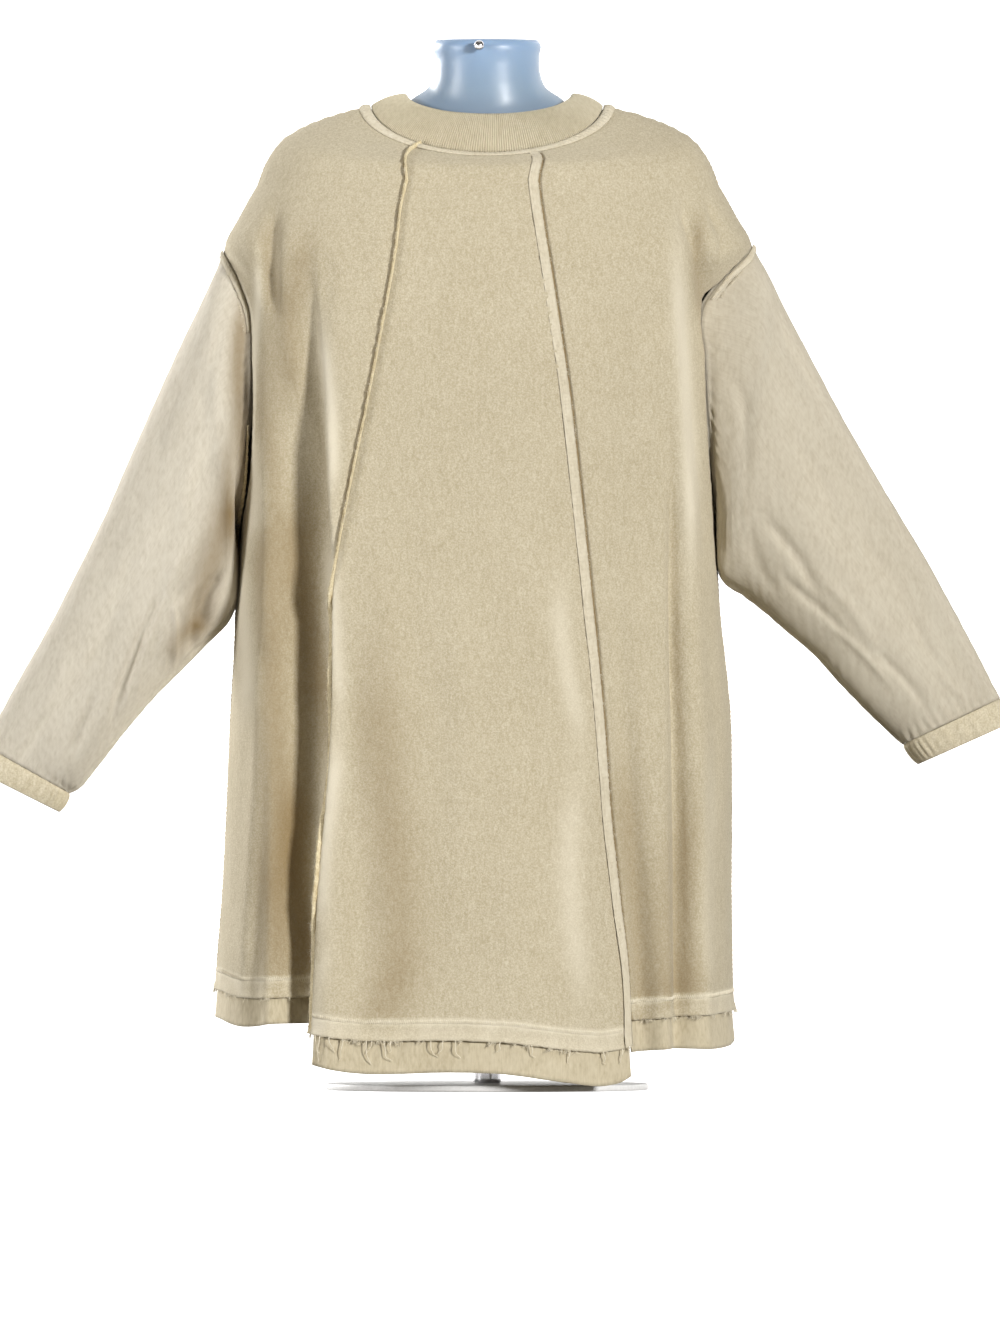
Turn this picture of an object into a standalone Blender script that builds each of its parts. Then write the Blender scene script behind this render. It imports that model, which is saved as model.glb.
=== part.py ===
# An oversized A-line sweatshirt with exposed seams, on a limbless dress form with a pole and a base.
# Tables and named sizes are in millimetres. The model is in metres, +Z up.
# The garment's back faces -Y and its front +Y. "Left" is the -X side, as seen from behind.
# An angle runs round the body: 0 at the left side, 90 degrees at the back, 180 at the right side.

import math

import bmesh
import bpy
import numpy as np

MM = 0.001
CLOTH_WALL = 2.0
RIB_WALL = 2.4
SEAM_GAP = 0.3
UNDERARM_SLACK = 2.0
LAY_GAP = 0.5

# Body sections from the shoulder points down to the longest hem.
# Columns: height, left half width, right half width, back depth, front depth, squareness.
BODY_SECTIONS = np.array((
    (0, 249, 226, 176, 176, 2.4),
    (63, 246, 223, 172, 172, 2.4),
    (101, 244, 221, 169, 169, 2.4),
    (171, 239, 220, 165, 166, 2.4),
    (225, 236, 220, 161, 163, 2.4),
    (335, 231, 219, 153, 157, 2.5),
    (382, 228, 215, 150, 154, 2.5),
    (428, 226, 210, 146, 152, 2.6),
    (477, 223, 207, 142, 149, 2.6),
    (531, 220, 204, 138, 147, 2.7),
    (597, 219, 203, 135, 145, 2.7),
    (661, 219, 202, 132, 140, 2.7),
    (702, 220, 200, 128, 134, 2.6),
    (729, 228, 217, 124, 128, 2.4),
    (758, 236, 238, 119, 121, 2.2),
    (785, 223, 225, 110, 108, 2.1),
    (817, 205, 207, 95, 92, 2.1),
))

# The neck seam: half width at the shoulder seams, depth and fall at the back and the front.
NECK_LEFT, NECK_RIGHT = 105, 105
NECK_BACK, NECK_FRONT = 62, 84
NECK_HEIGHT = 886
NECK_FALL_BACK, NECK_FALL_FRONT = 44, 90
SHOULDER_HEIGHT = 817
# The shoulder section lies lower at the front, by this much, and levels out over so many levels.
FRONT_DIP, FRONT_DIP_LEVELS = 45, 3

# The way from the neck seam to the shoulder section, as shares of the way out and down.
# Columns: share of the rows, out, down.
SHOULDER_CURVE = np.array((
    (0.0, 0.0, 0.0),
    (0.3, 0.34, 0.13),
    (0.55, 0.62, 0.29),
    (0.75, 0.82, 0.49),
    (0.9, 0.94, 0.76),
    (1.0, 1.0, 1.0),
))

# Seams of the back, from the neck seam to the hem. Columns: height, place across.
LEFT_SEAM_AT_NECK, RIGHT_SEAM_AT_NECK = -59, 42
LEFT_SEAM = np.array((
    (0, -159), (117, -155), (216, -148), (363, -142), (446, -140), (492, -131),
    (542, -122), (606, -109), (688, -93), (755, -81), (802, -75), (817, -71),
))
RIGHT_SEAM = np.array((
    (0, 131), (117, 127), (171, 120), (243, 112), (335, 105), (455, 93),
    (577, 80), (621, 75), (711, 62), (801, 48), (817, 46),
))

# Armholes. Columns: top height, underarm height, half depth to the back, half depth to the front.
ARMHOLE = {"left": (757, 504, 56, 60), "right": (762, 517, 54, 58)}

# Folds that hang in the body. A plus depth goes in, a minus depth stands out.
# Columns: side (1 back, -1 front), top height, place at the top, place at the hem, half width,
# depth at the hem, and how late the depth comes (1 is even).
FOLDS = (
    (1, 760, -163, -176, 18, 38, 1.1),
    (1, 800, -176, -192, 12, -9, 1.0),
    (1, 820, -136, -140, 18, -9, 1.0),
    (1, 800, -196, -214, 10, 7, 1.0),
    (1, 600, 166, 178, 10, 12, 0.7),
    (1, 800, 150, 160, 12, -6, 0.7),
    (1, 800, 178, 196, 10, -5, 0.8),
    (1, 560, 112, 146, 10, 9, 1.0),
    (1, 760, -30, -62, 34, 6, 1.0),
    (1, 760, 26, 52, 40, -7, 1.0),
    (-1, 740, -120, -150, 22, 26, 1.1),
    (-1, 740, -80, -98, 24, -10, 1.0),
    (-1, 700, -20, -34, 26, 9, 1.0),
    (-1, 740, 60, 74, 26, -8, 1.0),
    (-1, 720, 108, 132, 20, 24, 1.1),
    (-1, 760, 150, 186, 16, -7, 1.0),
)

# Hems of the four panels. Columns: share across the panel, raw edge, bottom of the band.
HEMS = {
    "back_left": np.array(((0, 92, 67), (0.3, 90, 64), (0.55, 84, 58), (0.8, 84, 61), (1, 86, 62))),
    "back_centre": np.array((
        (0, 52, 25), (0.15, 47, 18), (0.55, 45, 17), (0.75, 38, 9), (0.88, 36, 6), (1, 43, 20))),
    "back_right": np.array(((0, 64, 36), (0.25, 67, 39), (0.5, 69, 38), (0.8, 72, 42), (1, 74, 48))),
    "front": np.array(((0, 74, 48), (0.25, 82, 54), (0.5, 88, 60), (0.75, 90, 62), (1, 92, 67))),
}
STITCH_ABOVE_EDGE = 17
SKIRT_END = 130

# Sleeves, from the armhole's seam to the cuff's seam, as seen from behind.
# Columns: upper edge across and up, lower edge across and up, half depth.
SLEEVES = {
    "left": np.array((
        (-251, 720, -228, 466, 62), (-271, 680, -233, 430, 61), (-299, 619, -254, 399, 58),
        (-330, 549, -287, 366, 54), (-363, 477, -320, 330, 49), (-401, 405, -348, 294, 43),
        (-437, 341, -368, 271, 36), (-453, 311, -375, 267, 33),
    )),
    "right": np.array((
        (253, 733, 210, 487, 61), (267, 705, 214, 461, 60), (295, 652, 232, 444, 57),
        (325, 596, 260, 421, 53), (358, 540, 293, 392, 48), (395, 477, 323, 360, 43),
        (428, 418, 350, 333, 37), (462, 353, 374, 311, 33),
    )),
}
# Open ends of the cuffs, with the same columns.
CUFF_ENDS = {"left": (-464, 290, -385, 250, 31), "right": (473, 331, 388, 293, 31)}

# The rib collar's top edge: half width, depth and height at the sides, and its fall.
COLLAR_HALF_WIDTH, COLLAR_BACK, COLLAR_FRONT = 74, 57, 70
COLLAR_HEIGHT, COLLAR_FALL_BACK, COLLAR_FALL_FRONT = 897, 19, 66
COLLAR_CENTRE = 2

# Sewn-on strips: width and thickness.
NECK_TAPE = (6.5, 1.2)
FLAT_TAPE = (8.6, 1.2)
STANDING_SEAM = (2.8, 4.5)
ARMHOLE_SEAM = (8.0, 1.8)
ARMHOLE_SEAM_START = 3.0
SIDE_SEAM = (8.6, 1.4)

# The dress form's torso. Columns: height, half width, back depth, front depth, squareness.
FORM_SECTIONS = np.array((
    (225, 156, 96, 90, 2.2), (250, 160, 100, 93, 2.2), (290, 158, 102, 94, 2.2),
    (340, 146, 97, 92, 2.2), (400, 128, 84, 88, 2.2), (440, 121, 78, 84, 2.2),
    (480, 123, 78, 84, 2.2), (540, 134, 82, 93, 2.2), (600, 149, 90, 108, 2.2),
    (640, 156, 94, 114, 2.2), (700, 162, 94, 104, 2.2), (740, 167, 88, 88, 2.2),
    (780, 174, 78, 72, 2.1), (812, 182, 66, 60, 2.1),
))
FORM_NECK_BASE = (83, 44, 46, 878, 42, 50)
FORM_SHOULDER_CURVE = np.array((
    (0.0, 0.0, 0.0), (0.3, 0.33, 0.06), (0.55, 0.66, 0.15), (0.75, 0.82, 0.28),
    (0.9, 0.95, 0.6), (1.0, 1.0, 1.0),
))
# The form's neck above its base, and how far its lowest section falls at the back and the front.
# Columns: height at the side, half width, half depth.
FORM_NECK = np.array(((893, 66, 50), (901, 54, 47), (914, 48, 46), (930, 47, 46), (943, 47, 46), (945, 45, 44)))
FORM_NECK_FALL = (20, 44)
KNOB_RADIUS, KNOB_HEIGHT, KNOB_PLACE, KNOB_STEM = 4.6, 939, -7, 5.0
POLE_RADIUS = 12.5
BASE_RADIUS, BASE_THICKNESS, BASE_EDGE = 145, 6, 2

BODY_COLUMNS = {"back_left": 14, "back_centre": 13, "back_right": 12, "front": 26}
SLEEVE_COLUMNS = 20
SHOULDER_ROWS = (0.0, 0.3, 0.6, 0.85, 1.0)
SKIRT_ROWS = 6
FORM_COLUMNS = 28
WALL_COLOUR = (0.62, 0.54, 0.36, 1.0)


def smooth(at, table, column):
    # A curve through the table's points, with each point's slope taken from its neighbours.
    places = table[:, 0]
    values = table[:, column]
    slopes = np.gradient(values, places)
    at = np.asarray(at, float)
    i = np.clip(np.searchsorted(places, at) - 1, 0, len(places) - 2)
    span = places[i + 1] - places[i]
    f = np.clip((at - places[i]) / span, 0, 1)
    g = 1 - f
    ends = values[i] * (1 + 2 * f) * g * g + values[i + 1] * (3 - 2 * f) * f * f
    return ends + span * (slopes[i] * f * g * g - slopes[i + 1] * f * f * g)


def superellipse(angle, left, right, back, front, squareness):
    across = np.where(np.cos(angle) > 0, left, right)
    deep = np.where(np.sin(angle) > 0, back, front)
    power = 2 / squareness
    x = -np.sign(np.cos(angle)) * across * np.abs(np.cos(angle)) ** power
    y = -np.sign(np.sin(angle)) * deep * np.abs(np.sin(angle)) ** power
    return x, y, across, deep


def folded(angle, height):
    # The body's section at a height, with its folds moved along the section's own normal.
    columns = [smooth(height, BODY_SECTIONS, k) for k in range(1, 6)]
    x, y, across, deep = superellipse(angle, *columns)
    squareness = columns[4]
    out_x = np.sign(x) * np.abs(x / across) ** (squareness - 1) / across
    out_y = np.sign(y) * np.abs(y / deep) ** (squareness - 1) / deep
    length = np.hypot(out_x, out_y)
    move = np.zeros_like(x)
    for side, top, place_top, place_hem, width, depth, late in FOLDS:
        share = np.clip((top - height) / top, 0, 1)
        place = place_top + (place_hem - place_top) * share
        here = np.clip(-side * y / 40, 0, 1)
        move += here * depth * share ** late * np.exp(-((x - place) / width) ** 2)
    return np.stack((x - move * out_x / length, y - move * out_y / length, height + 0 * x), -1)


def neck_seam(angle):
    x, y, _, _ = superellipse(angle, NECK_LEFT, NECK_RIGHT, NECK_BACK, NECK_FRONT, 2.0)
    fall = np.where(np.sin(angle) > 0, NECK_FALL_BACK, NECK_FALL_FRONT)
    return np.stack((x, y, NECK_HEIGHT - fall * np.abs(np.sin(angle))), -1)


def body(angle, level):
    # Levels 0 to 1 run from the neck seam to the shoulder section, and one more is 100 mm of height.
    angle, level = np.broadcast_arrays(np.asarray(angle, float), np.asarray(level, float))
    share = np.clip(level, 0, 1)
    front = np.clip(-np.sin(angle), 0, 1)
    height = SHOULDER_HEIGHT - 100 * np.maximum(level - 1, 0)
    height = height - FRONT_DIP * front * np.clip(1 - (level - 1) / FRONT_DIP_LEVELS, 0, 1)
    low = folded(angle, height)
    high = neck_seam(angle)
    out = smooth(share, SHOULDER_CURVE, 1)[..., None]
    down = smooth(share, SHOULDER_CURVE, 2)
    points = high + (low - high) * out
    points[..., 2] = high[..., 2] + (low[..., 2] - high[..., 2]) * down
    return points


def normals(surface, u, v, step=0.004):
    along = surface(u + step, v) - surface(u - step, v)
    down = surface(u, v + step) - surface(u, v - step)
    cross = np.cross(along, down)
    return cross / np.linalg.norm(cross, axis=-1, keepdims=True)


def level_of(height):
    return 1 + (SHOULDER_HEIGHT - height) / 100


def seam_angle(line, place_at_neck, level):
    # The angle at which a seam crosses each level, from its place across there.
    height = SHOULDER_HEIGHT - 100 * np.maximum(level - 1, 0)
    side = 1 if place_at_neck < 0 else -1
    half = smooth(height, BODY_SECTIONS, 1 if side > 0 else 2)
    squareness = smooth(height, BODY_SECTIONS, 5)
    share = np.abs(smooth(height, line, 1)) / half
    low = np.arccos(side * share ** (squareness / 2))
    high = math.acos(side * abs(place_at_neck) / NECK_LEFT)
    out = smooth(np.clip(level, 0, 1), SHOULDER_CURVE, 1)
    return high + (low - high) * out


def armhole_angle(side, face, turn):
    # The body angle of the armhole's edge at a turn from its top, on the back or the front face.
    top, bottom, back, front = ARMHOLE[side]
    height = (top + bottom) / 2 + (top - bottom) / 2 * np.cos(turn)
    reach = (back if face == "back" else front) * np.sin(turn)
    deep = smooth(height, BODY_SECTIONS, 3 if face == "back" else 4)
    squareness = smooth(height, BODY_SECTIONS, 5)
    return np.arcsin(np.clip(reach / deep, 0, 1) ** (squareness / 2)), height


def row_levels(across, edge):
    # The levels of a panel's rows. Across is 0 at the body's left side and 1 at its right side.
    left_top, left_bottom = ARMHOLE["left"][:2]
    right_top, right_bottom = ARMHOLE["right"][:2]
    top = left_top + (right_top - left_top) * across
    bottom = left_bottom + (right_bottom - left_bottom) * across
    turns = np.linspace(0, math.pi, SLEEVE_COLUMNS // 2 + 1)
    heights = [(SHOULDER_HEIGHT + top) / 2]
    heights += [(top + bottom) / 2 + (top - bottom) / 2 * math.cos(turn) for turn in turns]
    heights += [bottom + (SKIRT_END - bottom) * k / SKIRT_ROWS for k in range(1, SKIRT_ROWS + 1)]
    heights += [edge + STITCH_ABOVE_EDGE, edge]
    return [np.full_like(across, share) for share in SHOULDER_ROWS] + [level_of(h) for h in heights]


def side_angles(side, face):
    # The angle of a side edge at each row: the side itself, then the armhole, then the side again.
    turns = np.linspace(0, math.pi, SLEEVE_COLUMNS // 2 + 1)
    before = [0.0] * (len(SHOULDER_ROWS) + 1)
    after = [0.0] * (SKIRT_ROWS + 2)
    return np.array(before + list(armhole_angle(side, face, turns)[0]) + after)


def panel_edges(name, levels):
    # The first and last angle of a panel at each row, from its levels there.
    left_seam = seam_angle(LEFT_SEAM, LEFT_SEAM_AT_NECK, levels[:, -1 if name == "back_left" else 0])
    right_seam = seam_angle(RIGHT_SEAM, RIGHT_SEAM_AT_NECK, levels[:, -1 if name == "back_centre" else 0])
    if name == "back_left":
        return side_angles("left", "back"), left_seam
    if name == "back_centre":
        return left_seam, right_seam
    if name == "back_right":
        return right_seam, math.pi - side_angles("right", "back")
    return math.pi + side_angles("right", "front"), 2 * math.pi - side_angles("left", "front")


def column_shares(name):
    shares = np.linspace(0, 1, BODY_COLUMNS[name] + 1)
    if name == "back_left":
        return 1 - (1 - shares) ** 1.35
    return shares


def panel_grid(name):
    # Angles and levels of a panel's points, a row for each level.
    spans = {"back_left": (0, 0.22), "back_centre": (0.22, 0.78), "back_right": (0.78, 1), "front": (1, 0)}
    shares = column_shares(name)
    across = spans[name][0] + (spans[name][1] - spans[name][0]) * shares
    edge = np.interp(shares, HEMS[name][:, 0], HEMS[name][:, 1])
    levels = np.array(row_levels(across, edge))
    first, last = panel_edges(name, levels)
    angles = first[:, None] + (last - first)[:, None] * shares
    return angles, levels


def drawn_in(points, gap):
    # Pulls a grid's first and last columns towards their neighbours, which opens the seam's gap.
    points = points.copy()
    for edge, near in ((0, 1), (-1, -2)):
        way = points[:, near] - points[:, edge]
        points[:, edge] += way * gap / np.linalg.norm(way, axis=-1, keepdims=True)
    return points


def wall_object(name, outer, inner, closed, parts, finish):
    # A cloth wall is a loft through unlike sections, so its faces join an outer and an inner grid.
    rows, columns = outer.shape[:2]
    count = rows * columns
    points = np.concatenate((outer.reshape(-1, 3), inner.reshape(-1, 3))) * MM
    faces = []
    for i in range(rows - 1):
        for j in range(columns if closed else columns - 1):
            k = (j + 1) % columns
            a, b, c, d = i * columns + j, i * columns + k, (i + 1) * columns + k, (i + 1) * columns + j
            faces.append((a, b, c, d))
            faces.append((count + d, count + c, count + b, count + a))
    for i in (0, rows - 1):
        for j in range(columns if closed else columns - 1):
            a, b = i * columns + j, i * columns + (j + 1) % columns
            faces.append((b, a, count + a, count + b))
    if not closed:
        for j in (0, columns - 1):
            for i in range(rows - 1):
                a, b = i * columns + j, (i + 1) * columns + j
                faces.append((a, b, count + b, count + a))
    return mesh_object(name, points, faces, parts, finish)


def mesh_object(name, points, faces, parts, finish):
    mesh = bpy.data.meshes.new(name)
    mesh.from_pydata([tuple(p) for p in points], [], faces)
    shape = bmesh.new()
    shape.from_mesh(mesh)
    bmesh.ops.recalc_face_normals(shape, faces=shape.faces)
    shape.to_mesh(mesh)
    shape.free()
    mesh.shade_smooth()
    mesh.set_sharp_from_angle(angle=math.radians(50))
    mesh.materials.append(finish)
    made = bpy.data.objects.new(name, mesh)
    parts.objects.link(made)
    return made


def finish_of(name, colour, roughness, metallic=0.0):
    finish = bpy.data.materials.new(name)
    finish.use_nodes = True
    shader = finish.node_tree.nodes["Principled BSDF"]
    shader.inputs["Base Color"].default_value = colour
    shader.inputs["Roughness"].default_value = roughness
    shader.inputs["Metallic"].default_value = metallic
    return finish


def build_panels(parts):
    # The four body panels. Returns each one's outer points and normals for what lies on it.
    made = {}
    for name in BODY_COLUMNS:
        angles, levels = panel_grid(name)
        outer = body(angles, levels)
        out = normals(body, angles, levels)
        made[name] = (outer, out, angles)
        finish = finish_of(name + "_cloth", WALL_COLOUR, 0.95)
        gap = SEAM_GAP / 2 + 0.05
        wall_object(name, drawn_in(outer, gap), drawn_in(outer - CLOTH_WALL * out, gap), False, parts, finish)
    return made


def build_hem_bands(parts, panels):
    # Each band starts inside its panel at the stitch line and hangs below the panel's raw edge.
    for name, (outer, out, angles) in panels.items():
        shares = column_shares(name)
        bottom = np.interp(shares, HEMS[name][:, 0], HEMS[name][:, 2])
        low = body(angles[-1], level_of(bottom))
        low_out = normals(body, angles[-1], level_of(bottom))
        rows = np.stack((outer[-2], outer[-1], low))
        outward = np.stack((out[-2], out[-1], low_out))
        face = rows - (CLOTH_WALL + LAY_GAP) * outward
        back = rows - (2 * CLOTH_WALL + LAY_GAP) * outward
        finish = finish_of("hem_" + name + "_cloth", WALL_COLOUR, 0.9)
        wall_object("hem_" + name, drawn_in(face, 1.0), drawn_in(back, 1.0), False, parts, finish)


def sleeve_rings(side):
    # The sleeve's sections as rings of points. The first is the armhole's edge, and the last the cuff's seam.
    turns = np.linspace(0, 2 * math.pi, SLEEVE_COLUMNS, endpoint=False)
    back_angle, height = armhole_angle(side, "back", turns)
    front_angle, _ = armhole_angle(side, "front", 2 * math.pi - turns)
    angle = np.where(turns <= math.pi, back_angle, -front_angle)
    angle = angle if side == "left" else math.pi - angle
    first = body(angle, level_of(height))
    middle = first.mean(axis=0)
    inward = middle - first
    outward = -1 if side == "left" else 1
    first += inward * 0.8 / np.linalg.norm(inward, axis=1, keepdims=True)
    first[:, 0] += outward * (SEAM_GAP + UNDERARM_SLACK * (1 - np.cos(turns)) / 2)
    return np.stack([first] + [section_ring(row, turns) for row in SLEEVES[side]])


def section_ring(row, turns):
    # A sleeve's section: an ellipse between its upper and lower edges, with a half depth along Y.
    high = np.array((row[0], 0, row[1]))
    low = np.array((row[2], 0, row[3]))
    depth = np.array((0, -row[4], 0))
    ring = (high + low) / 2 + np.cos(turns)[:, None] * (high - low) / 2
    return ring + np.sin(turns)[:, None] * depth


def grid_normals(grid):
    # Outward normals of a closed tube's grid, from its own points.
    around = np.roll(grid, -1, axis=1) - np.roll(grid, 1, axis=1)
    along = np.gradient(grid, axis=0)
    cross = np.cross(around, along)
    cross /= np.linalg.norm(cross, axis=-1, keepdims=True)
    centre = grid.mean(axis=1, keepdims=True)
    outward = np.sign(np.sum(cross * (grid - centre), axis=-1).sum())
    return cross * outward


def build_sleeve(parts, side):
    grid = sleeve_rings(side)
    out = grid_normals(grid)
    finish = finish_of("sleeve_" + side + "_cloth", (0.66, 0.58, 0.42, 1.0), 0.9)
    wall_object("sleeve_" + side, grid, grid - CLOTH_WALL * out, True, parts, finish)
    turns = np.linspace(0, 2 * math.pi, SLEEVE_COLUMNS, endpoint=False)
    end = section_ring(CUFF_ENDS[side], turns)
    way = end - grid[-1]
    start = grid[-1] + way * SEAM_GAP / np.linalg.norm(way, axis=1, keepdims=True)
    cuff = np.stack((start, (start + end) / 2, end))
    cuff_out = grid_normals(cuff)
    cuff_finish = finish_of("cuff_" + side + "_cloth", (0.69, 0.6, 0.4, 1.0), 0.9)
    wall_object("cuff_" + side, cuff, cuff - CLOTH_WALL * cuff_out, True, parts, cuff_finish)
    build_armhole_seam(parts, side, grid, out)


def build_armhole_seam(parts, side, grid, out):
    # The raised allowance lies on the sleeve beside the armhole's seam, but for the underarm.
    reach = SLEEVE_COLUMNS * 3 // 10
    columns = np.arange(-reach, reach + 1) % SLEEVE_COLUMNS
    width, thickness = ARMHOLE_SEAM
    near, far = grid[0, columns], grid[1, columns]
    way = (far - near) / np.linalg.norm(far - near, axis=1, keepdims=True)
    rows = np.stack((near + way * ARMHOLE_SEAM_START, near + way * (ARMHOLE_SEAM_START + width)))
    outward = np.stack((out[0, columns], out[0, columns]))
    low = rows + LAY_GAP * 4 * outward
    finish = finish_of("armhole_seam_" + side + "_cloth", (0.72, 0.62, 0.42, 1.0), 0.9)
    wall_object("armhole_seam_" + side, low + thickness * outward, low, False, parts, finish)


def build_collar(parts, panels):
    names = ("back_left", "back_centre", "back_right", "front")
    angle = np.concatenate([panels[name][2][0, :-1] for name in names])
    x, y, _, _ = superellipse(angle, COLLAR_HALF_WIDTH, COLLAR_HALF_WIDTH, COLLAR_BACK, COLLAR_FRONT, 2.0)
    fall = np.where(np.sin(angle) > 0, COLLAR_FALL_BACK, COLLAR_FALL_FRONT)
    top = np.stack((x + COLLAR_CENTRE, y, COLLAR_HEIGHT - fall * np.abs(np.sin(angle))), -1)
    seam = neck_seam(angle)
    way = (top - seam) / np.linalg.norm(top - seam, axis=1, keepdims=True)
    start = seam + way * 2 * SEAM_GAP
    shares = (0, 0.33, 0.67, 1)
    rise = [math.sin(math.pi * share) * 2.5 for share in shares]
    grid = np.stack([start + (top - start) * share for share in shares])
    grid[..., 2] += np.array(rise)[:, None]
    out = grid_normals(grid)
    finish = finish_of("collar_rib", (0.6, 0.52, 0.34, 1.0), 0.9)
    wall_object("collar", grid, grid - RIB_WALL * out, True, parts, finish)


def build_neck_tape(parts, panels):
    # The tape lies on all four panels, just below the neck seam.
    names = ("back_left", "back_centre", "back_right", "front")
    near = np.concatenate([panels[name][0][0, :-1] for name in names])
    far = np.concatenate([panels[name][0][1, :-1] for name in names])
    out = np.concatenate([panels[name][1][0, :-1] for name in names])
    width, thickness = NECK_TAPE
    way = (far - near) / np.linalg.norm(far - near, axis=1, keepdims=True)
    rows = np.stack((near + way * 0.6, near + way * (0.6 + width)))
    low = rows + 1.4 * LAY_GAP * out
    finish = finish_of("neck_tape_cloth", (0.78, 0.7, 0.52, 1.0), 0.9)
    wall_object("neck_tape", low + thickness * out, low, True, parts, finish)


def toward(points, column, near, distance):
    # Points at a distance from a grid's column towards the next one, on the grid's own faces.
    way = points[:, near] - points[:, column]
    return points[:, column] + way * distance / np.linalg.norm(way, axis=-1, keepdims=True)


def build_back_seams(parts, panels):
    left, centre, right = (panels[name] for name in ("back_left", "back_centre", "back_right"))
    pairs = (("seam_back_left", left, centre, STANDING_SEAM), ("seam_back_right", centre, right, FLAT_TAPE))
    for name, before, after, (width, thickness) in pairs:
        rows = slice(1, min(len(before[0]), len(after[0])))
        one = toward(before[0], -1, -2, width / 2)[rows]
        two = toward(after[0], 0, 1, width / 2)[rows]
        out = (before[1][:, -1] + after[1][:, 0])[rows]
        out /= np.linalg.norm(out, axis=-1, keepdims=True)
        edge = np.stack((one, two), 1)
        low = edge + 2 * LAY_GAP * out[:, None]
        finish = finish_of(name + "_cloth", (0.8, 0.72, 0.52, 1.0), 0.9)
        wall_object(name, low + thickness * out[:, None], low, False, parts, finish)


def build_side_seams(parts, panels):
    # Allowances pressed to the front, along the sides below the armholes and along the shoulders.
    points, out, _ = panels["front"]
    armhole_top = len(SHOULDER_ROWS) + 1
    armhole_bottom = armhole_top + SLEEVE_COLUMNS // 2
    spans = (("side_seam_", slice(armhole_bottom + 1, None)), ("shoulder_seam_", slice(1, armhole_top)))
    width, thickness = SIDE_SEAM
    for stem, rows in spans:
        for side, column, near in (("right", 0, 1), ("left", -1, -2)):
            one = toward(points, column, near, 0.6)[rows]
            two = toward(points, column, near, width)[rows]
            outward = out[rows, column][:, None]
            low = np.stack((one, two), 1) + 2 * LAY_GAP * outward
            finish = finish_of(stem + side + "_cloth", (0.72, 0.62, 0.42, 1.0), 0.9)
            wall_object(stem + side, low + thickness * outward, low, False, parts, finish)


def build_form(parts):
    # The torso and neck are one smooth closed loft, from the flat underside to the flat neck top.
    angle = np.linspace(0, 2 * math.pi, FORM_COLUMNS, endpoint=False)
    rings = []
    for height, half, back, front, squareness in FORM_SECTIONS:
        x, y, _, _ = superellipse(angle, half, half, back, front, squareness)
        rings.append(np.stack((x, y, np.full_like(x, height)), -1))
    half, back, front, height, fall_back, fall_front = FORM_NECK_BASE
    x, y, _, _ = superellipse(angle, half, half, back, front, 2.0)
    fall = np.where(np.sin(angle) > 0, fall_back, fall_front)
    neck = np.stack((x, y, height - fall * np.abs(np.sin(angle))), -1)
    for share, out, down in FORM_SHOULDER_CURVE[-2::-1]:
        ring = neck + (rings[len(FORM_SECTIONS) - 1] - neck) * out
        ring[:, 2] = neck[:, 2] + (FORM_SECTIONS[-1][0] - neck[:, 2]) * down
        rings.append(ring)
    tops = FORM_NECK[:, 0]
    for height, half, deep in FORM_NECK:
        x, y, _, _ = superellipse(angle, half, half, deep, deep, 2.0)
        level = np.clip((tops[-2] - height) / (tops[-2] - tops[0]), 0, 1)
        fall = np.where(np.sin(angle) > 0, *FORM_NECK_FALL) * np.abs(np.sin(angle)) * level
        rings.append(np.stack((x, y, height - fall), -1))
    grid = np.stack(rings)
    rows = len(grid)
    faces = [tuple(reversed(range(FORM_COLUMNS)))]
    faces.append(tuple((rows - 1) * FORM_COLUMNS + j for j in range(FORM_COLUMNS)))
    for i in range(rows - 1):
        for j in range(FORM_COLUMNS):
            k = (j + 1) % FORM_COLUMNS
            faces.append((i * FORM_COLUMNS + j, i * FORM_COLUMNS + k,
                          (i + 1) * FORM_COLUMNS + k, (i + 1) * FORM_COLUMNS + j))
    finish = finish_of("form_plastic", (0.42, 0.52, 0.72, 1.0), 0.25)
    mesh_object("form_body", grid.reshape(-1, 3) * MM, faces, parts, finish)


def turned(name, profile, sides, parts, finish):
    # A turned solid: a profile from the axis, out and down and back to the axis, with a Screw.
    mesh = bpy.data.meshes.new(name)
    points = [(radius * MM, 0, height * MM) for radius, height in profile]
    mesh.from_pydata(points, [(i, i + 1) for i in range(len(points) - 1)], [])
    mesh.materials.append(finish)
    made = bpy.data.objects.new(name, mesh)
    parts.objects.link(made)
    screw = made.modifiers.new("turn", "SCREW")
    screw.steps = sides
    screw.render_steps = sides
    screw.use_merge_vertices = True
    screw.merge_threshold = 0.0001
    return made


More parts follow.
